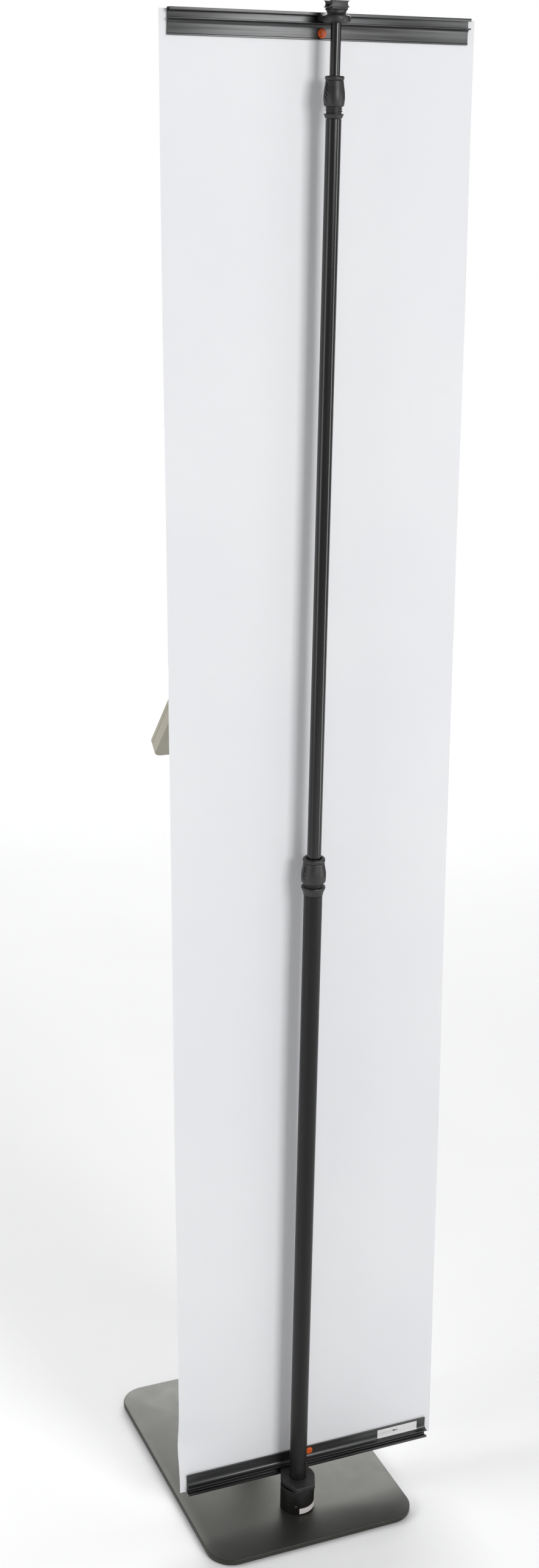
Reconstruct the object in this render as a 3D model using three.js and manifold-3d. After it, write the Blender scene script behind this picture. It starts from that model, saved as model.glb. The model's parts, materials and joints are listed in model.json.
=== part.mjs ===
// A telescopic-pole banner stand on a weighted plate, with a post that holds a tablet enclosure.
// Millimetres, +Z up. The banner's printed face looks along -Y and the pole stands behind it.
// The design is drawn about the pole's axis, then moved so that the footprint's middle is the origin.

import * as THREE from "three";
import { mergeVertices } from "three/addons/utils/BufferGeometryUtils.js";
import Module from "manifold-3d";

const wasm = await Module();
wasm.setup();

// Driving dimensions

const GAP = 0.3; // clearance where two pieces meet
const SIDES = 24; // facets round a turned piece

const PLATE_WIDTH = 320;
const PLATE_DEPTH = 440;
const PLATE_THICKNESS = 8;
const PLATE_CORNER = 38;
const PLATE_EDGE = 1.2; // chamfer along the plate's upper edge
const POLE_TO_REAR_EDGE = 82; // pole axis to the plate's rear edge
const PAD_RADIUS = 11;
const PAD_HEIGHT = 2;
const PAD_INSET = 34; // pad centre to the plate's edges

const SOCKET_RADIUS = 25;
const SOCKET_HEIGHT = 39.5;
const SOCKET_FLOOR = 7; // solid floor under the tube
const BOLT_RADIUS = 4;
const BOLT_HEAD_RADIUS = 8;
const SET_SCREW_RADIUS = 2.5;
const SET_SCREW_HEIGHT = 14; // set screw above the plate
const WRAP_LABEL_HEIGHT = 10.5;
const WRAP_LABEL_ARC = 100; // degrees round the socket
const LABEL_THICKNESS = 0.4;

const MIDDLE_PLAY = 1.9; // gap round the middle tube inside the lower one
const TOP_PLAY = 2.1; // gap round the top tube inside the middle one
const LOWER_TUBE = { radius: 12.5, wall: 1.2 };
const MIDDLE_TUBE = { radius: LOWER_TUBE.radius - LOWER_TUBE.wall - MIDDLE_PLAY, wall: 1.1 };
const TOP_TUBE = { radius: MIDDLE_TUBE.radius - MIDDLE_TUBE.wall - TOP_PLAY, wall: 1 };
const LOWER_LOCK_Z = 980; // where the lower tube ends in its lock
const MIDDLE_TUBE_SHOWING = 979.6; // from the lower lock's base to the upper one's
const TOP_TUBE_SHOWING = 108.5; // from the upper lock's base to the top clip's hook plate
const TOP_TUBE_IN_CLIP = 12;
const MIDDLE_TUBE_HIDDEN = 70; // length kept inside the lower tube
const TOP_TUBE_HIDDEN = 90; // length kept inside the middle tube
const PLUG_HEIGHT = 14;
const PLUG_COLLAR = 6; // part of the plug below the tube it closes
const SPIGOT_LENGTH = 20; // part of a lock's collet inside the wider tube
const THREAD_PITCH = 2.6;
const JAW_PLAY = 1.1; // gap between the narrower tube and the nut's mouth
const JAW_SLIT = 1.6;

const CLIP_HALF_DEPTH = 30.5; // pole axis to the hook's front
const CLIP_HALF_WIDTH = 25;
const CLIP_LIP_HALF_WIDTH = 14.5;
const CLIP_SHOULDER_Y = 5;
const CLIP_THICKNESS = 7.5;
const CLIP_NECK = 4;
const CLIP_NECK_WALL = 7.5;
const CLIP_PIN_RADIUS = 1.4;
const HOOK_GROOVE_DEPTH = 2.8; // how deep the rail's turned edge reaches into a hook plate
const TOP_COLLAR_WALL = 10.8; // top clip's collar round the top tube, at its widest
const TOP_TONGUE_HALF_WIDTH = 12;
const TOP_FLANGE_HALF_WIDTH = 13.3;
const TOP_FLANGE_HALF_DEPTH = 10;
const EAR_THICKNESS = 3.2; // the two upright plates on the top clip
const EAR_Y = 8.2;

const BANNER_WIDTH = 406;
const BANNER_THICKNESS = 0.5;
const BANNER_MARGIN = 1.5; // banner edge back from the rail's outer edge
const BANNER_OVERHANG = 9.5; // banner past each end of a rail
const RAIL_LENGTH = BANNER_WIDTH - 2 * BANNER_OVERHANG;
const RAIL_HEIGHT = 30;
const RAIL_WALL = 1.5;
const RAIL_DEPTH = 8; // how far the lip and the rib stand out of the web
const RAIL_CHANNEL = 9.6; // between the lip and the rib
const RAIL_RETURN = 2; // turned edge at the lip's tip
const RAIL_FILLET = 4.7;
const TAPE_THICKNESS = 0.4;
const TAPE_HEIGHT = 19;
const TOP_SHIFT = 4; // how far the top rail has slid in its hook
const BOTTOM_SHIFT = -31; // how far the bottom rail has slid in its hook
const DOT_RADIUS = 5.5;
const DOT_STEM_RADIUS = 2.4;
const DOT_THICKNESS = 1.6;
const LABEL_WIDTH = 66;
const LABEL_FROM_END = 14;

const POST_RADIUS = 19;
const POST_WALL = 1.5;
const POST_Y = -182;
const POST_BELOW_HINGE = 34;
const FLANGE_RADIUS = 50;
const FLANGE_THICKNESS = 5;
const FLANGE_BOLT_CIRCLE = 38;
const FLANGE_BOLT_RADIUS = 3;

const CASE_WIDTH = 266;
const CASE_LENGTH = 200;
const CASE_THICKNESS = 22.5;
const CASE_CORNER = 12;
const CASE_WALL = 3;
const CASE_FLOOR = 2.5;
const FRAME_THICKNESS = 6;
const WINDOW_WIDTH = CASE_WIDTH - 2 * 31;
const WINDOW_LENGTH = CASE_LENGTH - 2 * 23;
const CASE_TILT = 48; // degrees above level
const HINGE_TO_CASE = 17; // hinge axis to the case's back
const HINGE_RADIUS = 4;
const CHEEK_THICKNESS = 5;
const CHEEK_RADIUS = 12;
const HINGE_Z = 1171;
const HINGE_BLOCK_WIDTH = 30;
const KNOB_RADIUS = 15;
const KNOB_LOBES = 6;
const KNOB_THICKNESS = 12;
const KNOB_HUB_RADIUS = 8;
const PIN_PAST_CHEEK = 12; // pin's end inside the knob
const CAM_RADIUS = 5.5;
const CAM_STUD_RADIUS = 2.2;
const CAM_FROM_SIDE = 63; // cam's axis to the case's side
const LATCH_THICKNESS = 2.2;
const CATCH_HALF_WIDTH = 4;
const CATCH_TOE = 4.6; // how far the frame's catch reaches over the tray's floor
const BLOCK_SCREW_RADIUS = 2;
const FOAM_SIZE = 16;
const FOAM_HEIGHT = 3;

// Materials

const finish = (color, roughness, metalness = 0) => {
  return new THREE.MeshStandardMaterial({ color, roughness, metalness });
};
const powderCoat = finish(0x3a3b3a, 0.5, 0.2);
const blackTube = finish(0x17181a, 0.35, 0.3);
const blackPlastic = finish(0x1b1b1c, 0.45);
const anodised = finish(0x2a2a2c, 0.3, 0.6);
const vinyl = finish(0xe6e9ec, 0.6);
const orange = finish(0xc2500c, 0.45);
const paper = finish(0xe8e6e0, 0.7);
const tape = finish(0xd8d8d4, 0.5);
const rubber = finish(0x121212, 0.85);
const steel = finish(0x9a9b9c, 0.3, 0.9);
const enclosurePaint = finish(0xaca894, 0.5);
const foam = finish(0x2b2b2b, 0.95);

// Shape helpers

/** Merges a geometry's shared vertices and points its faces outwards. */
function closed(geometry) {
  const bare = geometry.index ? geometry : geometry.clone();
  bare.deleteAttribute("normal");
  bare.deleteAttribute("uv");
  const merged = mergeVertices(bare, 1e-4);
  const place = merged.attributes.position;
  const index = Array.from(merged.index.array);
  const a = new THREE.Vector3();
  const b = new THREE.Vector3();
  const c = new THREE.Vector3();
  const kept = [];
  let volume = 0;
  for (let i = 0; i < index.length; i += 3) {
    const [p, q, r] = index.slice(i, i + 3);
    if (p === q || q === r || r === p) continue;
    kept.push(p, q, r);
    a.fromBufferAttribute(place, p);
    b.fromBufferAttribute(place, q);
    c.fromBufferAttribute(place, r);
    volume += a.dot(b.cross(c));
  }
  if (volume < 0) {
    for (let i = 0; i < kept.length; i += 3) {
      [kept[i], kept[i + 1]] = [kept[i + 1], kept[i]];
    }
  }
  merged.setIndex(kept);
  return merged;
}

const solid = (geometry) => {
  const merged = closed(geometry);
  const vertProperties = new Float32Array(merged.attributes.position.array);
  const triVerts = new Uint32Array(merged.index.array);
  return new wasm.Manifold(new wasm.Mesh({ numProp: 3, vertProperties, triVerts }));
};

const surface = (manifold) => {
  const { vertProperties, triVerts } = manifold.getMesh();
  const geometry = new THREE.BufferGeometry();
  geometry.setAttribute("position", new THREE.BufferAttribute(vertProperties, 3));
  geometry.setIndex(new THREE.BufferAttribute(triVerts, 1));
  return geometry;
};

/** Cuts every tool out of a body. */
const cut = (body, ...tools) => surface(tools.reduce((rest, tool) => rest.subtract(solid(tool)), solid(body)));

/** Joins overlapping bodies. */
const join = (body, ...others) => surface(others.reduce((sum, other) => sum.add(solid(other)), solid(body)));

/** Turns a closed outline of [radius, height] pairs about the Z axis. */
function turned(outline, sides = SIDES) {
  const points = outline.map(([r, z]) => new THREE.Vector2(r, z));
  if (outline[0][0] > 0 || outline.at(-1)[0] > 0) points.push(points[0].clone());
  return new THREE.LatheGeometry(points, sides).rotateX(Math.PI / 2);
}

const disc = (radius, low, high, sides = SIDES) => turned([[0, low], [radius, low], [radius, high], [0, high]], sides);

const ring = (inner, outer, low, high, sides = SIDES) => {
  return turned([[inner, low], [outer, low], [outer, high], [inner, high]], sides);
};

const box = (x0, x1, y0, y1, z0, z1) => {
  const middle = [(x0 + x1) / 2, (y0 + y1) / 2, (z0 + z1) / 2];
  return new THREE.BoxGeometry(x1 - x0, y1 - y0, z1 - z0).translate(...middle);
};

/** Extrudes a flat outline from z = low to z = high. */
const slab = (shape, low, high) => {
  const options = { depth: high - low, bevelEnabled: false, curveSegments: 6 };
  return new THREE.ExtrudeGeometry(shape, options).translate(0, 0, low);
};

const outlineOf = (points) => new THREE.Shape(points.map(([x, y]) => new THREE.Vector2(x, y)));

/** A rectangle with round corners, between two corners. */
function roundedRectangle(x0, x1, y0, y1, radius) {
  const shape = new THREE.Shape();
  shape.moveTo(x0 + radius, y0);
  shape.lineTo(x1 - radius, y0);
  shape.absarc(x1 - radius, y0 + radius, radius, -Math.PI / 2, 0);
  shape.lineTo(x1, y1 - radius);
  shape.absarc(x1 - radius, y1 - radius, radius, 0, Math.PI / 2);
  shape.lineTo(x0 + radius, y1);
  shape.absarc(x0 + radius, y1 - radius, radius, Math.PI / 2, Math.PI);
  shape.lineTo(x0, y0 + radius);
  shape.absarc(x0 + radius, y0 + radius, radius, Math.PI, 1.5 * Math.PI);
  return shape;
}

const outlineToYZ = new THREE.Matrix4().makeBasis(
  new THREE.Vector3(0, 1, 0),
  new THREE.Vector3(0, 0, 1),
  new THREE.Vector3(1, 0, 0),
);

/** Extrudes an outline drawn in Y and Z from x = from to x = to. */
const slabAlongX = (shape, from, to) => slab(shape, from, to).applyMatrix4(outlineToYZ);

/** A profile drawn in Y and Z, run along X about the origin. */
const runAlongX = (points, length) => slabAlongX(outlineOf(points), -length / 2, length / 2);

const alongX = (geometry) => geometry.rotateY(Math.PI / 2);
const alongY = (geometry) => geometry.rotateX(-Math.PI / 2);

/** Points on an arc in a flat outline, ends included. */
function arc(cx, cy, radius, from, to, steps) {
  const point = (i) => {
    const angle = ((from + ((to - from) * i) / steps) * Math.PI) / 180;
    return [cx + radius * Math.cos(angle), cy + radius * Math.sin(angle)];
  };
  return Array.from({ length: steps + 1 }, (_, i) => point(i));
}

const design = new THREE.Group();

/** Adds one named piece to the design, or to a nested group of it. */
function piece(name, geometry, material, place = [0, 0, 0], parent = design) {
  const mesh = new THREE.Mesh(closed(geometry), material);
  mesh.name = name;
  mesh.position.set(...place);
  parent.add(mesh);
}

// Heights and planes that the pieces share

const plateBottom = PAD_HEIGHT + GAP;
const plateTop = plateBottom + PLATE_THICKNESS;
const plateRear = POLE_TO_REAR_EDGE;
const plateFront = plateRear - PLATE_DEPTH;
const socketBottom = plateTop + GAP;
const socketTop = socketBottom + SOCKET_HEIGHT;
const tubeFoot = socketBottom + SOCKET_FLOOR + GAP;
const clipBottom = socketTop + GAP + CLIP_NECK;
const clipTop = clipBottom + CLIP_THICKNESS;
const upperLockZ = LOWER_LOCK_Z + MIDDLE_TUBE_SHOWING;
const topClipZ = upperLockZ + TOP_TUBE_SHOWING; // underside of the top clip's hook plate
const topTubeEnd = topClipZ + TOP_TUBE_IN_CLIP;
const webRear = -(CLIP_HALF_DEPTH + 0.5);
const webFront = webRear - RAIL_WALL;
const tapeFront = webFront - GAP - TAPE_THICKNESS;
const bannerRear = tapeFront - GAP;
const lipWall = 1.4;
const returnWall = 1.4;
const ribWall = 1.6;
const lipTip = webRear + RAIL_DEPTH;
const bottomRailZ = clipBottom - GAP - lipWall; // lowest edge
const topRailZ = topClipZ + CLIP_THICKNESS + GAP + lipWall; // highest edge
const bannerBottom = bottomRailZ + BANNER_MARGIN;
const bannerTop = topRailZ - BANNER_MARGIN;

// Base plate and pads

const flangeBolts = [90, 210, 330].map((degrees) => {
  const angle = (degrees * Math.PI) / 180;
  return [FLANGE_BOLT_CIRCLE * Math.cos(angle), POST_Y + FLANGE_BOLT_CIRCLE * Math.sin(angle)];
});

function basePlate() {
  const half = PLATE_WIDTH / 2;
  const outline = (inset) => {
    return roundedRectangle(
      -half + inset,
      half - inset,
      plateFront + inset,
      plateRear - inset,
      PLATE_CORNER - inset,
    );
  };
  const lower = outline(0).getPoints(6);
  const upper = outline(PLATE_EDGE).getPoints(6);
  const levels = [
    [lower, plateBottom],
    [lower, plateTop - PLATE_EDGE],
    [upper, plateTop],
  ];
  const count = lower.length - 1;
  const positions = [];
  for (const [points, z] of levels) {
    for (let i = 0; i < count; i += 1) positions.push(points[i].x, points[i].y, z);
  }
  const index = [];
  for (let level = 0; level < 2; level += 1) {
    for (let i = 0; i < count; i += 1) {
      const a = level * count + i;
      const b = level * count + ((i + 1) % count);
      index.push(a, b, b + count, a, b + count, a + count);
    }
  }
  for (const [a, b, c] of THREE.ShapeUtils.triangulateShape(lower.slice(0, count), [])) {
    index.push(c, b, a, a + 2 * count, b + 2 * count, c + 2 * count);
  }
  const body = new THREE.BufferGeometry();
  body.setAttribute("position", new THREE.Float32BufferAttribute(positions, 3));
  body.setIndex(index);
  const clearance = (radius, headRadius, x, y) => {
    const outlinePoints = [
      [0, plateBottom - 1],
      [headRadius + GAP, plateBottom - 1],
      [headRadius + GAP, plateBottom + GAP],
      [radius + GAP, plateBottom + headRadius - radius + GAP],
      [radius + GAP, plateTop + 1],
      [0, plateTop + 1],
    ];
    return turned(outlinePoints, 16).translate(x, y, 0);
  };
  const postHoles = flangeBolts.map(([x, y]) => clearance(FLANGE_BOLT_RADIUS, FLANGE_BOLT_RADIUS * 2, x, y));
  return cut(body, clearance(BOLT_RADIUS, BOLT_HEAD_RADIUS, 0, 0), ...postHoles);
}

/** A countersunk screw pointing up, with its head's flat at z = low. */
const countersunk = (radius, headRadius, low, high) => {
  return turned([[0, low], [headRadius, low], [radius, low + headRadius - radius], [radius, high], [0, high]], 16);
};

piece("base_plate", basePlate(), powderCoat);

const padX = PLATE_WIDTH / 2 - PAD_INSET;
const padSpots = [
  [-padX, plateFront + PAD_INSET],
  [padX, plateFront + PAD_INSET],
  [-padX, plateRear - PAD_INSET],
  [padX, plateRear - PAD_INSET],
];
padSpots.forEach(([x, y], i) => piece(`foot_pad_${i + 1}`, disc(PAD_RADIUS, 0, PAD_HEIGHT, 16), rubber, [x, y, 0]));

// Pole socket and its fixings

function poleSocket() {
  const bore = LOWER_TUBE.radius + GAP;
  const edge = 1.2;
  const body = turned([
    [0, socketBottom],
    [SOCKET_RADIUS, socketBottom],
    [SOCKET_RADIUS, socketTop - edge],
    [SOCKET_RADIUS - edge, socketTop],
    [bore, socketTop],
    [bore, tubeFoot - GAP],
    [0, tubeFoot - GAP],
  ], 32);
  const boltHole = disc(BOLT_RADIUS + GAP, socketBottom - 1, tubeFoot + 1, 16);
  return cut(body, boltHole, setScrewHole());
}

const setScrewAngle = (62 * Math.PI) / 180; // from +X towards +Y
const setScrewZ = plateTop + SET_SCREW_HEIGHT;

function setScrewHole() {
  const hole = disc(SET_SCREW_RADIUS + GAP, LOWER_TUBE.radius - 1, SOCKET_RADIUS + 1, 12);
  return alongX(hole).rotateZ(setScrewAngle).translate(0, 0, setScrewZ);
}

piece("pole_socket", poleSocket(), blackTube);
piece(
  "socket_bolt",
  countersunk(BOLT_RADIUS, BOLT_HEAD_RADIUS, plateBottom + GAP, tubeFoot - 1),
  steel,
);
const setScrew = disc(SET_SCREW_RADIUS, LOWER_TUBE.radius + GAP, SOCKET_RADIUS - 1.5, 12);
piece("socket_set_screw", alongX(setScrew).rotateZ(setScrewAngle).translate(0, 0, setScrewZ), steel);

function wrapLabel() {
  const inner = SOCKET_RADIUS + GAP;
  const outer = inner + LABEL_THICKNESS;
  const steps = 8;
  const start = 80; // degrees from +X towards +Y
  const outline = [
    ...arc(0, 0, outer, start, start + WRAP_LABEL_ARC, steps),
    ...arc(0, 0, inner, start + WRAP_LABEL_ARC, start, steps),
  ];
  return slab(outlineOf(outline), plateTop + 2, plateTop + 2 + WRAP_LABEL_HEIGHT);
}

piece("socket_label", wrapLabel(), paper);

// Poles

const tube = ({ radius, wall }, low, high) => ring(radius - wall, radius, low, high);

const middleFoot = LOWER_LOCK_Z - MIDDLE_TUBE_HIDDEN;
const topFoot = upperLockZ - TOP_TUBE_HIDDEN;

piece("lower_tube", tube(LOWER_TUBE, tubeFoot, LOWER_LOCK_Z), blackTube);
piece("middle_tube", tube(MIDDLE_TUBE, middleFoot, upperLockZ), blackTube);

/** A plug in a tube's foot, whose collar runs in the next tube's bore. */
function footPlug(inner, outer, foot) {
  const collar = outer.radius - outer.wall - GAP;
  const spigot = inner.radius - inner.wall - GAP;
  const seat = foot - GAP;
  const low = seat - PLUG_COLLAR;
  return turned([
    [0, low],
    [collar - 0.8, low],
    [collar, low + 1],
    [collar, seat],
    [spigot, seat],
    [spigot, low + PLUG_HEIGHT],
    [0, low + PLUG_HEIGHT],
  ]);
}

piece("middle_tube_plug", footPlug(MIDDLE_TUBE, LOWER_TUBE, middleFoot), blackPlastic);
piece("top_tube_plug", footPlug(TOP_TUBE, MIDDLE_TUBE, topFoot), blackPlastic);

// Twist locks

const lowerLock = {
  name: "lower_lock",
  z: LOWER_LOCK_Z,
  outer: LOWER_TUBE,
  inner: MIDDLE_TUBE,
  flareHeight: 15,
  flareWall: 3.7, // flare, nut and bead past the wider tube
  neck: 3, // threads showing under the nut
  nutWall: 4.1,
  nutFootWall: 3.7,
  nutHeight: 27,
  beadWall: 2.5,
  beadHeight: 7,
  threadDepth: 1,
};

const upperLock = {
  name: "upper_lock",
  z: upperLockZ,
  outer: MIDDLE_TUBE,
  inner: TOP_TUBE,
  flareHeight: 5.4,
  flareWall: 2.6,
  neck: 8,
  nutWall: 3.4,
  nutFootWall: 2.2,
  nutHeight: 29,
  beadWall: 2.1,
  beadHeight: 5,
  threadDepth: 1,
};

/** Heights inside a lock's nut, from the collet's flare upwards. */
function nutLevels(lock) {
  const base = lock.z + GAP + lock.flareHeight + lock.neck;
  const shoulder = base + lock.nutHeight;
  const threadTop = base + lock.nutHeight * 0.55;
  return { base, shoulder, threadTop, coneTop: base + lock.nutHeight * 0.9, top: shoulder + lock.beadHeight };
}

/** The threaded collet that plugs into the wider tube and carries the nut. */
function collet(lock) {
  const bore = lock.inner.radius + GAP;
  const spigot = lock.outer.radius - lock.outer.wall - GAP;
  const core = lock.outer.radius;
  const crest = core + lock.threadDepth;
  const flare = core + lock.flareWall;
  const seat = lock.z + GAP;
  const flareTop = seat + lock.flareHeight;
  const { threadTop } = nutLevels(lock);
  const thread = [];
  for (let z = flareTop + 0.6; z + THREAD_PITCH < threadTop; z += THREAD_PITCH) {
    thread.push([core, z], [crest, z + THREAD_PITCH * 0.4], [crest, z + THREAD_PITCH * 0.6]);
  }
  return turned([
    [bore, seat - SPIGOT_LENGTH],
    [spigot, seat - SPIGOT_LENGTH],
    [spigot, seat],
    [core + 0.2, seat],
    [flare, flareTop - 2],
    [flare, flareTop - 0.6],
    [core + 0.4, flareTop],
    ...thread,
    [core, threadTop],
    [bore, threadTop],
  ]);
}

function nut(lock) {
  const { base, shoulder, threadTop, coneTop, top } = nutLevels(lock);
  const outer = lock.outer.radius;
  const threadBore = outer + lock.threadDepth + GAP;
  const mouth = lock.inner.radius + JAW_PLAY;
  const bead = outer + lock.beadWall;
  const waist = bead - 0.8;
  const widest = outer + lock.nutWall;
  const foot = outer + lock.nutFootWall;
  return turned([
    [threadBore, base],
    [foot - 0.6, base],
    [foot, base + 0.8],
    [widest, base + lock.nutHeight * 0.35],
    [widest - 0.1, base + lock.nutHeight * 0.5],
    [(widest + waist) / 2, base + lock.nutHeight * 0.8],
    [waist, shoulder],
    [bead, shoulder + 1],
    [bead, top - 1.2],
    [bead - 1, top],
    [mouth, top],
    [mouth, coneTop],
    [threadBore, threadTop + 1],
  ]);
}

/** The split ring that the nut's cone squeezes onto the narrower tube. */
function jaws(lock) {
  const { threadTop, coneTop } = nutLevels(lock);
  const bore = lock.inner.radius + GAP;
  const mouth = lock.inner.radius + JAW_PLAY;
  const threadBore = lock.outer.radius + lock.threadDepth + GAP;
  const low = threadTop + GAP;
  const high = coneTop - 1;
  const wide = threadBore - 1.2;
  const coneSlope = (threadBore - mouth) / (coneTop - threadTop - 1);
  const narrow = Math.max(mouth + coneSlope - 0.6, bore + 0.5);
  const body = turned([[bore, low], [wide, low], [wide, low + 1], [narrow, high], [bore, high]]);
  const halfSlit = JAW_SLIT / 2;
  return cut(body, box(0, threadBore + 2, -halfSlit, halfSlit, low - 1, high + 1));
}

for (const lock of [lowerLock, upperLock]) {
  piece(`${lock.name}_collet`, collet(lock), blackPlastic);
  piece(`${lock.name}_nut`, nut(lock), blackPlastic);
  piece(`${lock.name}_jaws`, jaws(lock), blackPlastic);
}

// Hook clips

/** Slots across a hook plate that take the rail lip's turned edge, at its front and back. */
function grooves(low, high) {
  const inner = -lipTip - 2 * GAP - 0.1;
  const outer = inner + returnWall + 1.4;
  const wide = CLIP_HALF_WIDTH + 5;
  return [
    box(-wide, wide, -outer, -inner, low, high),
    box(-wide, wide, inner, outer, low, high),
  ];
}

function hookOutline(halfWidth) {
  const lip = CLIP_LIP_HALF_WIDTH;
  const depth = CLIP_HALF_DEPTH;
  return outlineOf([
    [-lip, -depth],
    [lip, -depth],
    [halfWidth, -CLIP_SHOULDER_Y],
    [halfWidth, CLIP_SHOULDER_Y],
    [lip, depth],
    [-lip, depth],
    [-halfWidth, CLIP_SHOULDER_Y],
    [-halfWidth, -CLIP_SHOULDER_Y],
  ]);
}

function bottomClip() {
  const plate = slab(hookOutline(CLIP_HALF_WIDTH), clipBottom, clipTop);
  const neck = disc(LOWER_TUBE.radius + CLIP_NECK_WALL, socketTop + GAP, clipBottom + 1);
  const bore = disc(LOWER_TUBE.radius + GAP, socketTop, clipTop + 1);
  return cut(join(plate, neck), bore, ...grooves(clipBottom - 1, clipBottom + HOOK_GROOVE_DEPTH));
}

piece("bottom_clip", bottomClip(), blackPlastic);

const topPinZ = topClipZ + 3;
const topCollar = TOP_TUBE.radius + TOP_COLLAR_WALL;
const clipPin = (radius, halfLength) => alongX(disc(radius, -halfLength, halfLength, 12)).translate(0, 0, topPinZ);
const topPinHole = () => clipPin(CLIP_PIN_RADIUS + GAP, topCollar + 3);

/** One of the two upright plates on the top clip, with flared tips. */
function topEar(y) {
  const low = topTubeEnd + 2;
  const half = TOP_FLANGE_HALF_WIDTH;
  const points = [
    [-half + 2.3, low],
    [half - 2.3, low],
    [half - 2.7, low + 4],
    [half - 0.1, low + 7.5],
    [-half + 0.1, low + 7.5],
    [-half + 2.7, low + 4],
  ];
  const thick = EAR_THICKNESS / 2;
  return slab(outlineOf(points), -thick, thick).rotateX(Math.PI / 2).translate(0, y, 0);
}

/** The top clip: a hook plate on a collar, a flange above it and two upright plates on top. */
function topClip() {
  const top = topClipZ + CLIP_THICKNESS;
  const tongueHalf = TOP_TONGUE_HALF_WIDTH;
  const tongue = slab(roundedRectangle(-tongueHalf, tongueHalf, -CLIP_HALF_DEPTH, 8, 2), topClipZ, top);
  const collar = turned([
    [0, topClipZ - 2.5],
    [topCollar - 2.5, topClipZ - 2.5],
    [topCollar, topClipZ - 0.5],
    [topCollar, topClipZ + 4.5],
    [topCollar - 4.5, topClipZ + 7],
    [topCollar - 5.5, topTubeEnd - 2],
    [topCollar - 3.5, topTubeEnd],
    [0, topTubeEnd],
  ]);
  const [halfX, halfY] = [TOP_FLANGE_HALF_WIDTH, TOP_FLANGE_HALF_DEPTH];
  const flange = slab(roundedRectangle(-halfX, halfX, -halfY, halfY, 2), topTubeEnd - 1, topTubeEnd + 2.5);
  const bridge = box(-4.5, 4.5, -EAR_Y + 0.7, EAR_Y - 0.7, topTubeEnd + 2, topTubeEnd + 7);
  const bore = disc(TOP_TUBE.radius + GAP, topClipZ - 3, topTubeEnd + GAP);
  const body = join(tongue, collar, flange, topEar(-EAR_Y), topEar(EAR_Y), bridge);
  return cut(body, bore, topPinHole(), grooves(top - HOOK_GROOVE_DEPTH, top + 1)[0]);
}

const topTube = cut(tube(TOP_TUBE, topFoot, topTubeEnd), topPinHole());
piece("top_tube", topTube, blackTube);
piece("top_clip", topClip(), blackPlastic);
piece("top_clip_pin", clipPin(CLIP_PIN_RADIUS, topCollar - 3.5), steel);

// Rails

const filletEnd = lipWall + RAIL_CHANNEL + ribWall + RAIL_FILLET;
const dotDepth = (filletEnd + RAIL_HEIGHT - 2) / 2; // dot centre from the lip's edge

/** The rail's section in Y (from the web's rear face) and Z (down from the edge with the lip). */
const railSection = [
  [-RAIL_WALL, 0],
  [RAIL_DEPTH, 0],
  [RAIL_DEPTH, -lipWall - RAIL_RETURN],
  [RAIL_DEPTH - returnWall, -lipWall - RAIL_RETURN],
  [RAIL_DEPTH - returnWall, -lipWall],
  [0, -lipWall],
  [0, -lipWall - RAIL_CHANNEL],
  [RAIL_DEPTH, -lipWall - RAIL_CHANNEL],
  [RAIL_DEPTH, -lipWall - RAIL_CHANNEL - ribWall],
  ...arc(RAIL_FILLET, -filletEnd, RAIL_FILLET, 90, 180, 4),
  [0, -RAIL_HEIGHT + 2],
  [0.6, -RAIL_HEIGHT + 1.4],
  [0.6, -RAIL_HEIGHT],
  [-RAIL_WALL, -RAIL_HEIGHT],
];
/** A rail with the hole for its dot; up is 1 for the top rail and -1 for the bottom one. */
function rail(up) {
  const section = railSection.map(([y, z]) => [webRear + y, z * up]);
  const hole = alongY(disc(DOT_STEM_RADIUS + GAP, -3, 3, 12)).translate(0, webRear, -dotDepth * up);
  return cut(runAlongX(up > 0 ? section : section.reverse(), RAIL_LENGTH), hole);
}

/** A push-in dot: a domed head on a stem. */
function dot(up) {
  const head = GAP + DOT_THICKNESS;
  const outline = [
    [0, -RAIL_WALL + GAP],
    [DOT_STEM_RADIUS, -RAIL_WALL + GAP],
    [DOT_STEM_RADIUS, GAP],
    [DOT_RADIUS, GAP],
    [DOT_RADIUS, head - 0.6],
    [DOT_RADIUS - 0.8, head],
    [0, head],
  ];
  return alongY(turned(outline, 20)).translate(0, webRear, -dotDepth * up);
}

const rails = [
  { name: "top", up: 1, z: topRailZ, x: TOP_SHIFT },
  { name: "bottom", up: -1, z: bottomRailZ, x: BOTTOM_SHIFT },
];
for (const { name, up, z, x } of rails) {
  piece(`${name}_rail`, rail(up), anodised, [x, 0, z]);
  piece(`${name}_rail_dot`, dot(up), orange, [x, 0, z]);
  const centre = z - (up * RAIL_HEIGHT) / 2;
  const strip = box(
    x - RAIL_LENGTH / 2,
    x + RAIL_LENGTH / 2,
    tapeFront,
    tapeFront + TAPE_THICKNESS,
    centre - TAPE_HEIGHT / 2,
    centre + TAPE_HEIGHT / 2,
  );
  piece(`${name}_rail_tape`, strip, tape);
}

/** A label that follows the bottom rail's flat and the start of its fillet. */
function railLabel() {
  const bend = 50; // degrees of the fillet that it covers
  const low = RAIL_HEIGHT - 3;
  const inner = RAIL_FILLET - GAP;
  const outer = inner - LABEL_THICKNESS;
  const follow = (radius, from, to) => arc(RAIL_FILLET, -filletEnd, radius, from, to, 3);
  const section = [
    [GAP, -low],
    ...follow(inner, 180, 180 - bend),
    ...follow(outer, 180 - bend, 180),
    [GAP + LABEL_THICKNESS, -low],
  ];
  const turnedOver = section.map(([y, z]) => [webRear + y, -z]);
  return runAlongX(turnedOver, LABEL_WIDTH);
}

const labelX = BOTTOM_SHIFT - RAIL_LENGTH / 2 + LABEL_FROM_END + LABEL_WIDTH / 2;
piece("bottom_rail_label", railLabel(), paper, [labelX, 0, bottomRailZ]);

// Banner

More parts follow.
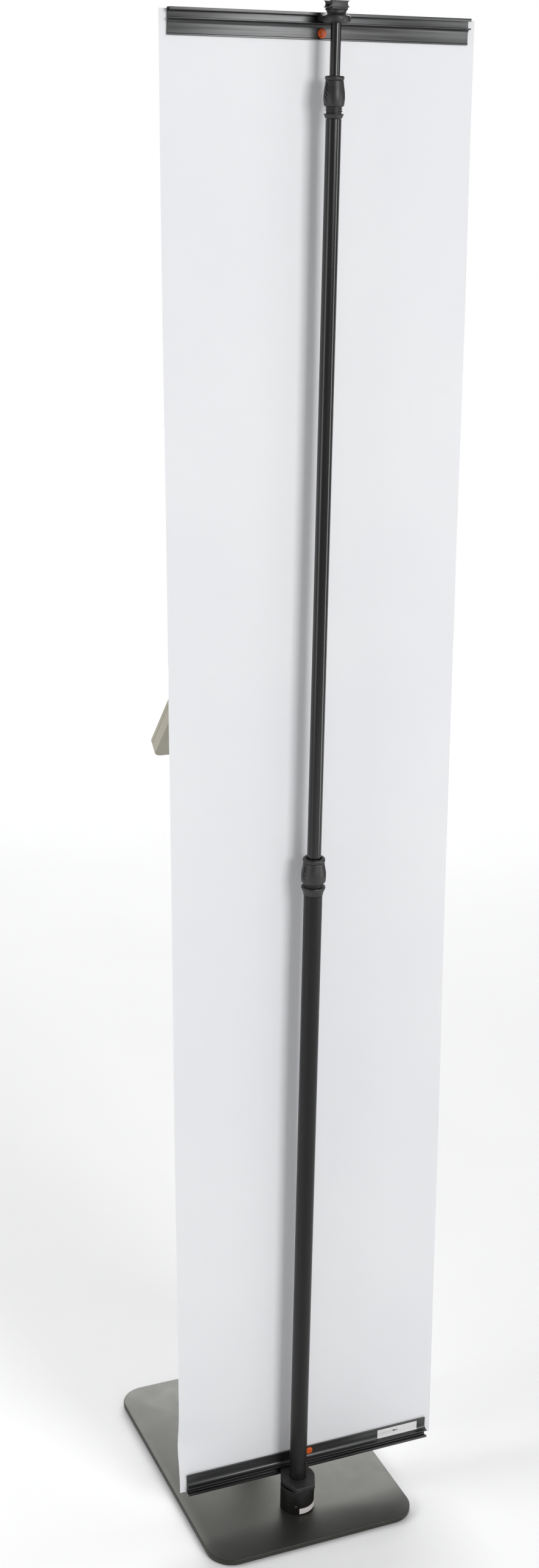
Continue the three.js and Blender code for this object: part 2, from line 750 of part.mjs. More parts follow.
/** The sheet, whose foot has slid further than its head. */
function banner() {
  const half = BANNER_WIDTH / 2;
  const points = [
    [BOTTOM_SHIFT - half, bannerBottom],
    [BOTTOM_SHIFT + half, bannerBottom],
    [TOP_SHIFT + half, bannerTop],
    [TOP_SHIFT - half, bannerTop],
  ];
  return slab(outlineOf(points), 0, BANNER_THICKNESS).rotateX(Math.PI / 2).translate(0, bannerRear, 0);
}

piece("banner", banner(), vinyl);

// Post for the tablet enclosure

const flangeBottom = plateTop + GAP;
const flangeTop = flangeBottom + FLANGE_THICKNESS;
const postTop = HINGE_Z - POST_BELOW_HINGE;

function postFlange() {
  const body = turned([
    [0, flangeBottom],
    [FLANGE_RADIUS, flangeBottom],
    [FLANGE_RADIUS, flangeTop - 1.5],
    [FLANGE_RADIUS - 1.5, flangeTop],
    [POST_RADIUS - POST_WALL - GAP, flangeTop],
    [POST_RADIUS - POST_WALL - GAP, flangeTop + 14],
    [0, flangeTop + 14],
  ]).translate(0, POST_Y, 0);
  const hole = ([x, y]) => disc(FLANGE_BOLT_RADIUS + GAP, flangeBottom - 1, flangeTop + 1, 12).translate(x, y, 0);
  return cut(body, ...flangeBolts.map(hole));
}

piece("post_flange", postFlange(), powderCoat);
const flangeBolt = () => {
  return countersunk(FLANGE_BOLT_RADIUS, FLANGE_BOLT_RADIUS * 2, plateBottom + GAP, flangeTop - 0.5);
};
flangeBolts.forEach(([x, y], i) => piece(`flange_bolt_${i + 1}`, flangeBolt(), steel, [x, y, 0]));
const postTube = ring(POST_RADIUS - POST_WALL, POST_RADIUS, flangeTop + GAP, postTop);
piece("post_tube", postTube, powderCoat, [0, POST_Y, 0]);

// Tilt yoke on the post

const cheekInside = HINGE_BLOCK_WIDTH / 2 + GAP;
const cheekOutside = cheekInside + CHEEK_THICKNESS;

/** Drawn about the hinge axis. */
function tiltYoke() {
  const seat = -POST_BELOW_HINGE + GAP;
  const spigot = POST_RADIUS - POST_WALL - GAP;
  const cap = POST_RADIUS + 1.8;
  const base = turned([
    [0, seat - 16],
    [spigot, seat - 16],
    [spigot, seat],
    [cap, seat],
    [cap, seat + 7],
    [cap - 1, seat + 8],
    [0, seat + 8],
  ]);
  const side = new THREE.Shape();
  side.moveTo(-CHEEK_RADIUS, seat + 4);
  side.lineTo(CHEEK_RADIUS, seat + 4);
  side.lineTo(CHEEK_RADIUS, 0);
  side.absarc(0, 0, CHEEK_RADIUS, 0, Math.PI);
  const cheek = (from, to) => slabAlongX(side, from, to);
  const bore = alongX(disc(HINGE_RADIUS + GAP, -cheekOutside - 1, cheekOutside + 1, 16));
  return cut(join(base, cheek(-cheekOutside, -cheekInside), cheek(cheekInside, cheekOutside)), bore);
}

const hinge = [0, POST_Y, HINGE_Z];
piece("tilt_yoke", tiltYoke(), powderCoat, hinge);
const pinHead = cheekOutside + GAP;
const knobSeat = -cheekOutside - GAP;
const pinEnd = knobSeat - PIN_PAST_CHEEK;
const tiltPin = turned([
  [0, pinEnd],
  [HINGE_RADIUS, pinEnd],
  [HINGE_RADIUS, pinHead],
  [HINGE_RADIUS * 1.9, pinHead],
  [HINGE_RADIUS * 1.9, pinHead + 3.5],
  [HINGE_RADIUS * 1.5, pinHead + 4.5],
  [0, pinHead + 4.5],
], 16);
piece("tilt_pin", alongX(tiltPin), steel, hinge);

function tiltKnob() {
  const points = [];
  for (let i = 0; i < KNOB_LOBES; i += 1) {
    const middle = (i * 360) / KNOB_LOBES;
    points.push(...arc(0, 0, KNOB_RADIUS, middle - 16, middle + 16, 2));
    points.push(...arc(0, 0, KNOB_RADIUS - 2.2, middle + 26, middle + 34, 1));
  }
  const grip = slab(outlineOf(points), knobSeat - 2 - KNOB_THICKNESS, knobSeat - 2);
  const hub = disc(KNOB_HUB_RADIUS, knobSeat - 3, knobSeat, 16);
  const bore = disc(HINGE_RADIUS + GAP, pinEnd - GAP, knobSeat + 1, 16);
  return alongX(cut(join(grip, hub), bore));
}

piece("tilt_knob", tiltKnob(), blackPlastic, hinge);

// Tablet enclosure, drawn flat about the hinge axis and then tilted: Y up the case, Z out of its window

const head = new THREE.Group();
head.position.set(...hinge);
head.rotation.x = (CASE_TILT * Math.PI) / 180;
design.add(head);

const caseBack = HINGE_TO_CASE;
const trayTop = caseBack + CASE_THICKNESS - FRAME_THICKNESS;
const floorTop = caseBack + CASE_FLOOR;
const halfCase = [CASE_WIDTH / 2, CASE_LENGTH / 2];
const camX = -halfCase[0] + CAM_FROM_SIDE;
const camY = -halfCase[1] + CASE_WALL + 13;
const blockScrews = [-8, 8];

const centred = (halfX, halfY, radius) => roundedRectangle(-halfX, halfX, -halfY, halfY, radius);

function enclosureTray() {
  const body = slab(centred(...halfCase, CASE_CORNER), caseBack, trayTop - GAP);
  const inside = [halfCase[0] - CASE_WALL, halfCase[1] - CASE_WALL];
  const hollow = slab(centred(...inside, CASE_CORNER - CASE_WALL), floorTop, trayTop + 1);
  const camHole = disc(CAM_RADIUS + GAP, caseBack - 1, floorTop + 1, 16).translate(camX, camY, 0);
  const screwHole = (y) => disc(BLOCK_SCREW_RADIUS + GAP, caseBack - 1, floorTop + 1, 12).translate(0, y, 0);
  return cut(body, hollow, camHole, ...blockScrews.map(screwHole));
}

piece("enclosure_tray", enclosureTray(), enclosurePaint, [0, 0, 0], head);

const catchStem = [-halfCase[1] + CASE_WALL + 0.6, -halfCase[1] + CASE_WALL + 2.8];
const latchLow = floorTop + 3.2;
const latchTop = latchLow + LATCH_THICKNESS;

/** The front frame, with the window and the catch that the cam's arm holds down. */
function enclosureFrame() {
  const top = trayTop + FRAME_THICKNESS;
  const body = slab(centred(...halfCase, CASE_CORNER), trayTop, top);
  const window = slab(centred(WINDOW_WIDTH / 2, WINDOW_LENGTH / 2, 4), trayTop - 1, top + 1);
  const sides = [camX - CATCH_HALF_WIDTH, camX + CATCH_HALF_WIDTH];
  const toe = box(...sides, catchStem[0], catchStem[1] + CATCH_TOE, floorTop + 2 * GAP, latchLow - GAP - 0.1);
  const stem = box(...sides, ...catchStem, floorTop + 2 * GAP, trayTop + 1);
  return cut(join(body, stem, toe), window);
}

piece("enclosure_frame", enclosureFrame(), enclosurePaint, [0, 0, 0], head);

const foamX = WINDOW_WIDTH / 2 + 6;
const foamY = WINDOW_LENGTH / 2 - 2;
const foamPad = () => slab(centred(FOAM_SIZE / 2, FOAM_SIZE / 2, 2), floorTop + GAP, floorTop + GAP + FOAM_HEIGHT);
[[-1, -1], [1, -1], [-1, 1], [1, 1]].forEach(([sx, sy], i) => {
  piece(`tablet_pad_${i + 1}`, foamPad(), foam, [sx * foamX, sy * foamY, 0], head);
});

/** The block on the case's back that turns between the yoke's cheeks. */
function tiltBlock() {
  const half = HINGE_BLOCK_WIDTH / 2;
  const side = new THREE.Shape();
  side.moveTo(CHEEK_RADIUS, 0);
  side.lineTo(CHEEK_RADIUS, caseBack - GAP);
  side.lineTo(-CHEEK_RADIUS, caseBack - GAP);
  side.lineTo(-CHEEK_RADIUS, 0);
  side.absarc(0, 0, CHEEK_RADIUS, Math.PI, 2 * Math.PI);
  const body = slabAlongX(side, -half, half);
  const bore = alongX(disc(HINGE_RADIUS + GAP, -half - 1, half + 1, 16));
  const screwHole = (y) => disc(BLOCK_SCREW_RADIUS + GAP, HINGE_RADIUS + 2, caseBack + 1, 12).translate(0, y, 0);
  return cut(body, bore, ...blockScrews.map(screwHole));
}

piece("tilt_block", tiltBlock(), powderCoat, [0, 0, 0], head);
const blockScrew = () => {
  return turned([
    [0, caseBack - 8],
    [BLOCK_SCREW_RADIUS, caseBack - 8],
    [BLOCK_SCREW_RADIUS, floorTop + GAP],
    [BLOCK_SCREW_RADIUS * 2, floorTop + GAP],
    [BLOCK_SCREW_RADIUS * 1.7, floorTop + 2],
    [0, floorTop + 2.2],
  ], 12);
};
blockScrews.forEach((y, i) => piece(`block_screw_${i + 1}`, blockScrew(), steel, [0, y, 0], head));

// Cam lock: a barrel through the tray's floor with an arm over the frame's catch

function camBarrel() {
  const body = turned([
    [0, caseBack - 1.4],
    [CAM_RADIUS + 1.8, caseBack - 1.4],
    [CAM_RADIUS + 1.8, caseBack - GAP],
    [CAM_RADIUS, caseBack - GAP],
    [CAM_RADIUS, latchLow - GAP],
    [CAM_STUD_RADIUS, latchLow - GAP],
    [CAM_STUD_RADIUS, latchTop + 0.4],
    [0, latchTop + 0.4],
  ], 16);
  const keyway = box(-0.6, 0.6, -3, 3, caseBack - 2, caseBack + 1);
  return cut(body, keyway);
}

const latchReach = camY - catchStem[1] - 0.8;
const latch = cut(
  box(-3.4, 3.4, -latchReach, 3.6, latchLow, latchTop),
  disc(CAM_STUD_RADIUS + GAP, latchLow - 1, latchTop + 1, 12),
);
piece("cam_barrel", camBarrel(), steel, [camX, camY, 0], head);
piece("cam_latch", latch, steel, [camX, camY, 0], head);

// The footprint's middle becomes the origin

const assembly = new THREE.Group();
const left = Math.min(-PLATE_WIDTH / 2, BOTTOM_SHIFT - BANNER_WIDTH / 2, TOP_SHIFT - BANNER_WIDTH / 2);
const right = Math.max(PLATE_WIDTH / 2, BOTTOM_SHIFT + BANNER_WIDTH / 2, TOP_SHIFT + BANNER_WIDTH / 2);
design.position.set(-(left + right) / 2, -(plateFront + plateRear) / 2, 0);
assembly.add(design);

export default assembly;
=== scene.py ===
"""A telescopic-pole banner stand on a weighted plate, seen from behind, with a tablet case in front of it."""
import json
import math

import bmesh
import bpy
from mathutils import Matrix, Vector


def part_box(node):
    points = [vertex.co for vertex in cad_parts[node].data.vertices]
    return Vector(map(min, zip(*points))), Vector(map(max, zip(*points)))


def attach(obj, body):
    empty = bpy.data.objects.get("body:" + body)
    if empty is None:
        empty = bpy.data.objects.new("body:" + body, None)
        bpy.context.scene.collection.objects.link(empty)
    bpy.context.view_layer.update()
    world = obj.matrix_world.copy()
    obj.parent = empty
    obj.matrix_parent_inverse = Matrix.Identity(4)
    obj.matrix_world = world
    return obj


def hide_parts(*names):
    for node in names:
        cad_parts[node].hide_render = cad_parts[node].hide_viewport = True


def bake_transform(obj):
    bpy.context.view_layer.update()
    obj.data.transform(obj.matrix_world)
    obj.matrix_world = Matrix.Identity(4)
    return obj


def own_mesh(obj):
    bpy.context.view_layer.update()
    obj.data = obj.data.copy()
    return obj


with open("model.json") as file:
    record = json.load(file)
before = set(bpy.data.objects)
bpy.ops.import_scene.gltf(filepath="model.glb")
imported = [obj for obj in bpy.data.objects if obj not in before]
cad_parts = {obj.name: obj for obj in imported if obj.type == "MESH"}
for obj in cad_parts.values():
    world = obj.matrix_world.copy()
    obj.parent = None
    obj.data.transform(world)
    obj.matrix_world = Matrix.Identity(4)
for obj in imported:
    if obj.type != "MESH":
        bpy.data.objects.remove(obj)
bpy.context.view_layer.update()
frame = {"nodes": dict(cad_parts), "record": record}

MM = 0.001
TURN = 2 * math.pi
behaviour = frame["record"]["behaviour"]
body_of = {node: body for body, nodes in behaviour["bodies"].items() for node in nodes}
joint_of = {joint["name"]: joint for joint in behaviour["joints"]}


# Modelling by hand

def only(*objs):
    """Selects these objects alone."""
    bpy.ops.object.select_all(action="DESELECT")
    for obj in objs:
        obj.select_set(True)
    bpy.context.view_layer.objects.active = objs[0]


def begin(primitive, **sizes):
    """Adds a primitive and opens it for editing, all selected."""
    bpy.ops.object.select_all(action="DESELECT")
    primitive(**sizes)
    obj = bpy.context.object
    bpy.ops.object.mode_set(mode="EDIT")
    bpy.ops.mesh.select_mode(type="VERT")
    bpy.ops.mesh.select_all(action="SELECT")
    return obj


def finish_edit():
    """Merges what meets, points the faces outwards and closes the edit."""
    bpy.ops.mesh.select_all(action="SELECT")
    bpy.ops.mesh.remove_doubles(threshold=0.002 * MM)
    bpy.ops.mesh.normals_make_consistent(inside=False)
    bpy.ops.object.mode_set(mode="OBJECT")
    bpy.ops.object.transform_apply(location=True, rotation=True, scale=True)


def pick(obj, kind, chosen):
    """Selects the vertices, edges or faces that chosen(centre, normal) takes."""
    bpy.ops.mesh.select_mode(type=kind)
    bpy.ops.mesh.select_all(action="DESELECT")
    mesh = bmesh.from_edit_mesh(obj.data)
    place = obj.matrix_world
    if kind == "VERT":
        found = [v for v in mesh.verts if chosen(place @ v.co, v.normal)]
    elif kind == "EDGE":
        found = [e for e in mesh.edges if chosen(place @ ((e.verts[0].co + e.verts[1].co) / 2),
                                                 e.verts[1].co - e.verts[0].co)]
    else:
        found = [f for f in mesh.faces if chosen(place @ f.calc_center_median(), f.normal)]
    for part in found:
        part.select_set(True)
    bmesh.update_edit_mesh(obj.data)


def pull(value):
    bpy.ops.mesh.extrude_region_move(TRANSFORM_OT_translate={"value": value})


def spread(centre, across):
    bpy.ops.transform.resize(value=(across, across, 1), center_override=centre)


def turned(levels, sides=64, ringed=False):
    """A round piece on the Z axis: one circle is pulled to each (radius, height) in turn.
    A ringed piece closes from its last circle onto its first; any other gets flat ends."""
    (radius, height), *rest = levels
    obj = begin(bpy.ops.mesh.primitive_circle_add, vertices=sides, radius=radius, location=(0, 0, height))
    for wide, high in rest:
        pull((0, 0, high - height))
        spread((0, 0, high), wide / radius)
        radius, height = wide, high
    bpy.ops.mesh.select_mode(type="EDGE")
    bpy.ops.mesh.select_all(action="DESELECT")
    bpy.ops.mesh.select_non_manifold()
    if ringed:
        bpy.ops.mesh.bridge_edge_loops()
    else:
        bpy.ops.mesh.fill_holes(sides=0)
    finish_edit()
    return obj


def drawn(points, run, corner=0.0, corner_steps=6):
    """An outline drawn point by point and pulled along run. corner rounds the outline's own corners."""
    points = [Vector(p) for p in points]
    obj = begin(bpy.ops.mesh.primitive_plane_add, size=MM, location=points[0])
    bpy.ops.mesh.merge(type="CENTER")
    for here, there in zip(points, points[1:]):
        pull(there - here)
    ends = (points[0], points[-1])
    pick(obj, "VERT", lambda centre, normal: min((centre - end).length for end in ends) < 0.01 * MM)
    bpy.ops.mesh.edge_face_add()
    bpy.ops.mesh.select_all(action="SELECT")
    bpy.ops.mesh.edge_face_add()
    if corner:
        bpy.ops.mesh.bevel(offset=corner, segments=corner_steps, affect="VERTICES")
        bpy.ops.mesh.select_all(action="SELECT")
    pull(run)
    finish_edit()
    return obj


def plate(x0, x1, y0, y1, z0, z1, corner=0.0, corner_steps=8):
    """A flat slab with round upright corners."""
    outline = [(x0, y0, z0), (x1, y0, z0), (x1, y1, z0), (x0, y1, z0)]
    return drawn(outline, (0, 0, z1 - z0), corner, corner_steps)


def soften(obj, width, steps=3, angle=34):
    """Rounds every edge that is sharper than angle, in degrees."""
    bevel = obj.modifiers.new("edge", "BEVEL")
    bevel.width, bevel.segments, bevel.limit_method = width, steps, "ANGLE"
    bevel.angle_limit, bevel.harden_normals = math.radians(angle), False
    only(obj)
    bpy.ops.object.modifier_apply(modifier=bevel.name)
    return obj


def combine(obj, others, operation):
    """Cuts the others out of obj, or joins them to it, and removes them."""
    for other in others:
        boolean = obj.modifiers.new("meet", "BOOLEAN")
        boolean.object, boolean.operation, boolean.solver = other, operation, "EXACT"
        only(obj)
        bpy.ops.object.modifier_apply(modifier=boolean.name)
        bpy.data.objects.remove(other)
    return obj


def cut(obj, *others):
    return combine(obj, others, "DIFFERENCE")


def fuse(obj, *others):
    return combine(obj, others, "UNION")


def moved(obj, place):
    """Turns and moves a finished mesh, leaving its object at the origin."""
    obj.data.transform(place)
    obj.data.update()
    return obj


def copied(obj, place=None):
    twin = obj.copy()
    twin.data = obj.data.copy()
    bpy.context.collection.objects.link(twin)
    return moved(twin, place) if place else twin


def shift(x=0.0, y=0.0, z=0.0):
    return Matrix.Translation((x, y, z))


def about(axis, degrees):
    return Matrix.Rotation(math.radians(degrees), 4, axis)


def rod(radius, low, high, sides=32):
    return turned([(radius, low), (radius, high)], sides)


def mount(obj, name, body, look, *nodes, angle=38):
    """Names a finished piece, gives it its finish and puts it on its body in place of its CAD nodes."""
    only(obj)
    bpy.ops.object.transform_apply(location=True, rotation=True, scale=True)
    bpy.ops.object.shade_smooth_by_angle(angle=math.radians(angle))
    obj.name = obj.data.name = name
    obj.data.materials.clear()
    obj.data.materials.append(look.material)
    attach(obj, body)
    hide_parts(*nodes)
    return obj


# Finishes

class Amount:
    """A value inside a finish. Python's operators add its Math nodes."""

    def __init__(self, look, socket):
        self.look, self.socket = look, socket

    def maths(self, operation, *others):
        return self.look.add("ShaderNodeMath", {"operation": operation}, dict(enumerate((self, *others))))

    def __add__(self, other):
        return self.maths("ADD", other)

    def __mul__(self, other):
        return self.maths("MULTIPLY", other)

    def __sub__(self, other):
        return self.maths("SUBTRACT", other)

    def __rsub__(self, other):
        return self.look.add("ShaderNodeMath", {"operation": "SUBTRACT"}, {0: other, 1: self})

    def __abs__(self):
        return self.maths("ABSOLUTE")

    __radd__, __rmul__ = __add__, __mul__

    def between(self, low, high):
        """Rises smoothly from 0 at low to 1 at high."""
        values = {"Value": self, "From Min": low, "From Max": high}
        return self.look.add("ShaderNodeMapRange", {"interpolation_type": "SMOOTHSTEP"}, values)


class Finish:
    """One material slot's look. Patterns are laid out in metres on the object's own coordinates."""

    def __init__(self, slot, roughness, metallic=0.0, name=None, **constants):
        self.slot = slot
        self.material = bpy.data.materials.new(name or slot)
        self.material.use_nodes = True
        self.tree = self.material.node_tree
        self.tree.nodes.clear()
        output = self.tree.nodes.new("ShaderNodeOutputMaterial")
        self.shader = self.tree.nodes.new("ShaderNodeBsdfPrincipled")
        self.tree.links.new(self.shader.outputs[0], output.inputs["Surface"])
        constants = {"Roughness": roughness, "Metallic": metallic, **constants}
        for key, value in constants.items():
            self.shader.inputs[key].default_value = value
        self.place = self.add("ShaderNodeTexCoord", out="Object")

    def add(self, kind, settings=None, values=None, out=0):
        """Adds any node: its settings first, then its sockets' values or links."""
        node = self.tree.nodes.new(kind)
        for key, value in (settings or {}).items():
            setattr(node, key, value)
        for key, value in (values or {}).items():
            if isinstance(value, Amount):
                self.tree.links.new(value.socket, node.inputs[key])
            else:
                node.inputs[key].default_value = value
        return Amount(self, node.outputs[out])

    def axes(self):
        split = self.add("ShaderNodeSeparateXYZ", None, {0: self.place}).socket.node
        return [Amount(self, out) for out in split.outputs]

    def laid(self, stretch, turn=(0, 0, 0)):
        values = {"Vector": self.place, "Rotation": turn, "Scale": stretch}
        return self.add("ShaderNodeMapping", None, values)

    def noise(self, scale, detail=2.0, on=None):
        values = {"Vector": on or self.place, "Scale": scale, "Detail": detail}
        return self.add("ShaderNodeTexNoise", None, values)

    def cells(self, scale):
        return self.add("ShaderNodeTexVoronoi", None, {"Vector": self.place, "Scale": scale})

    def mix(self, one, other, share):
        return self.add("ShaderNodeMix", {"data_type": "RGBA"}, {0: share, 6: one, 7: other}, out=2)

    def dress(self, colour, roughness=None, height=None, depth=0.0001, strength=0.5):
        """Links the colour, the roughness and a relief whose full height is depth, in metres."""
        self.tree.links.new(colour.socket, self.shader.inputs["Base Color"])
        if roughness:
            self.tree.links.new(roughness.socket, self.shader.inputs["Roughness"])
        if height:
            relief = {"Height": height, "Distance": depth, "Strength": strength}
            bump = self.add("ShaderNodeBump", None, relief)
            self.tree.links.new(bump.socket, self.shader.inputs["Normal"])
        return self


def grey(value, warmth=0.0):
    return (value * (1 + warmth), value, value * (1 - warmth), 1)


def powder_coat(rim_top):
    """Fine black powder paint, with a few chips on the base plate's edge under rim_top."""
    look = Finish("powder_coat", 0.4, **{"Specular Tint": (1, 0.99, 0.9, 1)})
    cloud = look.noise(9, 3)
    grain = look.noise(1500, 2)
    colour = look.mix((0.0125, 0.0125, 0.011, 1), (0.0185, 0.0185, 0.016, 1), cloud.between(0.35, 0.65))
    colour = look.mix(colour, (0.06, 0.06, 0.054, 1), grain.between(0.6, 0.8) * 0.6)
    dust = 1 - look.cells(13).between(0.010, 0.016)
    lucky = look.noise(31, 0).between(0.66, 0.68)
    colour = look.mix(colour, grey(0.42), dust * lucky)
    height = look.axes()[2]
    under_top = 1 - height.between(rim_top - 0.7 * MM, rim_top - 0.4 * MM)
    rim = height.between(rim_top - 2.8 * MM, rim_top - 1.6 * MM) * under_top
    chips = look.noise(260, 2).between(0.67, 0.70) * look.noise(11, 1).between(0.56, 0.62)
    colour = look.mix(colour, grey(0.30, 0.03), rim * chips)
    roughness = 0.34 + 0.1 * look.noise(40, 2) + 0.08 * grain
    return look.dress(colour, roughness, look.noise(1100, 3), 0.00012, 0.35)


def tube_enamel(name, roughness, shine):
    look = Finish("black_tube", roughness, name=name, **{"Specular IOR Level": shine})
    drag = look.noise(420, 3, look.laid((1, 1, 0.02)))
    cloud = look.noise(6, 3, look.laid((1, 1, 0.35)))
    colour = look.mix(grey(0.0045, 0.03), grey(0.0085, 0.04), cloud.between(0.3, 0.7))
    dust = 1 - look.cells(95).between(0.02, 0.045)
    colour = look.mix(colour, grey(0.12), dust * look.noise(14, 1).between(0.6, 0.66) * 0.6)
    rough = roughness - 0.05 + 0.1 * drag + 0.05 * cloud
    return look.dress(colour, rough, drag, 0.00004, 0.25)


def black_plastic():
    look = Finish("black_plastic", 0.42)
    mottle = look.noise(55, 3)
    spark = look.noise(2600, 2)
    colour = look.mix(grey(0.012), grey(0.021, 0.02), mottle.between(0.3, 0.72))
    scuffs = look.noise(330, 3, look.laid((1, 1, 0.2), (0.3, 0.2, 0.4))).between(0.69, 0.75)
    colour = look.mix(colour, grey(0.07), scuffs * 0.5)
    roughness = 0.36 + 0.12 * mottle + 0.06 * spark
    return look.dress(colour, roughness, spark, 0.00006, 0.4)


def anodised_rail():
    look = Finish("anodised_rail", 0.34, 0.9)
    lines = look.noise(1900, 3, look.laid((0.012, 1, 1)))
    bands = look.noise(240, 2, look.laid((0.03, 1, 1)))
    colour = look.mix(grey(0.055), grey(0.088, -0.015), bands.between(0.3, 0.7))
    marks = look.noise(70, 4, look.laid((0.15, 1, 1))).between(0.68, 0.75)
    colour = look.mix(colour, grey(0.15), marks * 0.4)
    roughness = 0.27 + 0.12 * lines + 0.07 * bands
    return look.dress(colour, roughness, lines, 0.00005, 0.3)


def banner_film():
    look = Finish("banner_sheet", 0.5, name="banner_sheet")
    cloud = look.noise(2.2, 3)
    weave = look.noise(1600, 1)
    bands = look.noise(16, 2, look.laid((0.05, 1, 1)))
    colour = look.mix((0.785, 0.79, 0.81, 1), (0.82, 0.825, 0.84, 1), cloud.between(0.3, 0.7))
    colour = look.mix(colour, (0.76, 0.765, 0.785, 1), weave.between(0.5, 0.8) * 0.25)
    relief = bands * 0.8 + weave * 0.02
    return look.dress(colour, 0.46 + 0.1 * weave, relief, 0.0006, 0.25)


def orange_plastic():
    look = Finish("orange_plastic", 0.38)
    cloud = look.noise(420, 3)
    colour = look.mix((0.62, 0.075, 0.002, 1), (0.74, 0.12, 0.004, 1), cloud.between(0.3, 0.7))
    return look.dress(colour, 0.32 + 0.15 * cloud, look.noise(2200, 2), 0.00006, 0.4)


def paper(name, tint, arrow=None):
    """Matt paper. arrow gives a printed pointer's tail, tip and height."""
    look = Finish("label_paper", 0.62, name=name)
    fibre = look.noise(2400, 3)
    stain = look.noise(90, 2)
    colour = look.mix(tint, tuple(0.9 * c for c in tint[:3]) + (1,), stain.between(0.35, 0.75) * 0.6)
    if arrow:
        tail, tip, line = arrow
        x, _, z = look.axes()
        along = (x - tail) * (1 / (tip - tail))
        inside = along.between(0, 0.01) * (1 - along.between(0.99, 1))
        head_start = 0.68
        half_line, half_head, fade = 0.22 * MM, 1.3 * MM, 0.18 * MM
        head = along.between(head_start, head_start + 0.012) * (1 - along) * (1 / (1 - head_start))
        ink = (half_line + half_head * head - abs(z - line)).between(0, fade) * inside
        colour = look.mix(colour, grey(0.03), ink)
    return look.dress(colour, 0.55 + 0.15 * fibre, fibre, 0.00004, 0.35)


def tape_film():
    look = Finish("tape", 0.42)
    fibre = look.noise(500, 2, look.laid((0.1, 1, 1)))
    return look.dress(look.mix(grey(0.62, 0.01), grey(0.72), fibre), 0.36 + 0.15 * fibre, fibre, 0.00005, 0.4)


def rubber():
    look = Finish("rubber", 0.85)
    grain = look.noise(1300, 3)
    return look.dress(look.mix(grey(0.008), grey(0.02), grain), 0.75 + 0.2 * grain, grain, 0.00015, 0.5)


def steel():
    look = Finish("steel", 0.3, 1.0)
    turning = look.noise(900, 3, look.laid((1, 1, 0.1)))
    stain = look.noise(120, 3)
    colour = look.mix(grey(0.42, -0.01), grey(0.56, 0.01), stain.between(0.3, 0.7))
    return look.dress(colour, 0.24 + 0.16 * turning, turning, 0.00004, 0.3)


def enclosure_paint():
    look = Finish("enclosure_paint", 0.42)
    cloud = look.noise(14, 3)
    peel = look.noise(700, 2)
    colour = look.mix((0.31, 0.292, 0.232, 1), (0.35, 0.33, 0.265, 1), cloud.between(0.3, 0.7))
    speck = look.noise(2300, 1).between(0.62, 0.75)
    colour = look.mix(colour, (0.28, 0.26, 0.2, 1), speck * 0.35)
    return look.dress(colour, 0.36 + 0.1 * cloud + 0.06 * peel, peel, 0.00008, 0.3)


def foam():
    look = Finish("foam", 0.95)
    pores = look.cells(900)
    colour = look.mix(grey(0.006), grey(0.028), pores.between(0.1, 0.5))
    return look.dress(colour, 0.9 + 0.08 * pores, pores, 0.0004, 0.7)


# Places and sizes that the pieces share

def corners(node):
    low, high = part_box(node)
    return Vector(low), Vector(high)


def middle(node):
    low, high = corners(node)
    return (low + high) / 2


def reach(node):
    """Half of a round piece's width."""
    low, high = corners(node)
    return (high.x - low.x) / 2


POLE = middle("lower_tube")
POST = middle("post_tube")
HINGE = Vector((POST.x, POST.y, joint_of["enclosure_tilt"]["pos_m"][2]))
CASE_TILT = 48
on_pole = shift(POLE.x, POLE.y)
on_post = shift(POST.x, POST.y)
on_hinge = Matrix.Translation(HINGE)
on_case = on_hinge @ about("X", CASE_TILT)
z_to_x = about("Y", 90)
z_to_y = about("X", -90)

GAP = 0.3 * MM
CLIP_PIN_BORE, HINGE_PIN_BORE, BLOCK_SCREW_BORE = 1.7 * MM, 4.3 * MM, 2.3 * MM
powder = powder_coat(corners("base_plate")[1].z)
satin = tube_enamel("tube_satin", 0.2, 0.5)
matt = tube_enamel("tube_matt", 0.32, 0.3)
plastic = black_plastic()
anodised = anodised_rail()
film = banner_film()
orange = orange_plastic()
tape = tape_film()
feet = rubber()
zinc = steel()
beige = enclosure_paint()
cushion = foam()


# Base plate and its feet

def hollow_for_screw(head, shank, low, high):
    return turned([(head + GAP, low - MM), (head + GAP, low + GAP),
                   (shank + GAP, low + head - shank + GAP), (shank + GAP, high + MM)], 32)


def base_plate():
    low, high = corners("base_plate")
    slab = plate(low.x, high.x, low.y, high.y, low.z, high.z, 38 * MM, 18)
    soften(slab, 1.1 * MM, 4, 60)
    screws = [("socket_bolt", 4 * MM)] + [(f"flange_bolt_{i}", 3 * MM) for i in (1, 2, 3)]
    for node, shank in screws:
        centre = middle(node)
        hole = hollow_for_screw(reach(node), shank, low.z, high.z)
        cut(slab, moved(hole, shift(centre.x, centre.y)))
    return mount(slab, "plate", "stand", powder, "base_plate")


def foot_pads():
    first = turned([(4.5 * MM, 0.7 * MM), (5 * MM, 0), (7.4 * MM, 0), (7.8 * MM, 0.5 * MM), (8.2 * MM, 0),
                    (10.4 * MM, 0), (11 * MM, 0.6 * MM), (11 * MM, 1.6 * MM), (10.6 * MM, 2 * MM)], 40)
    for i in (1, 2, 3, 4):
        centre = middle(f"foot_pad_{i}")
        pad = copied(first, shift(centre.x, centre.y))
        mount(pad, f"foot_{i}", "stand", feet, f"foot_pad_{i}")
    bpy.data.objects.remove(first)


base_plate()
foot_pads()


# Pole socket

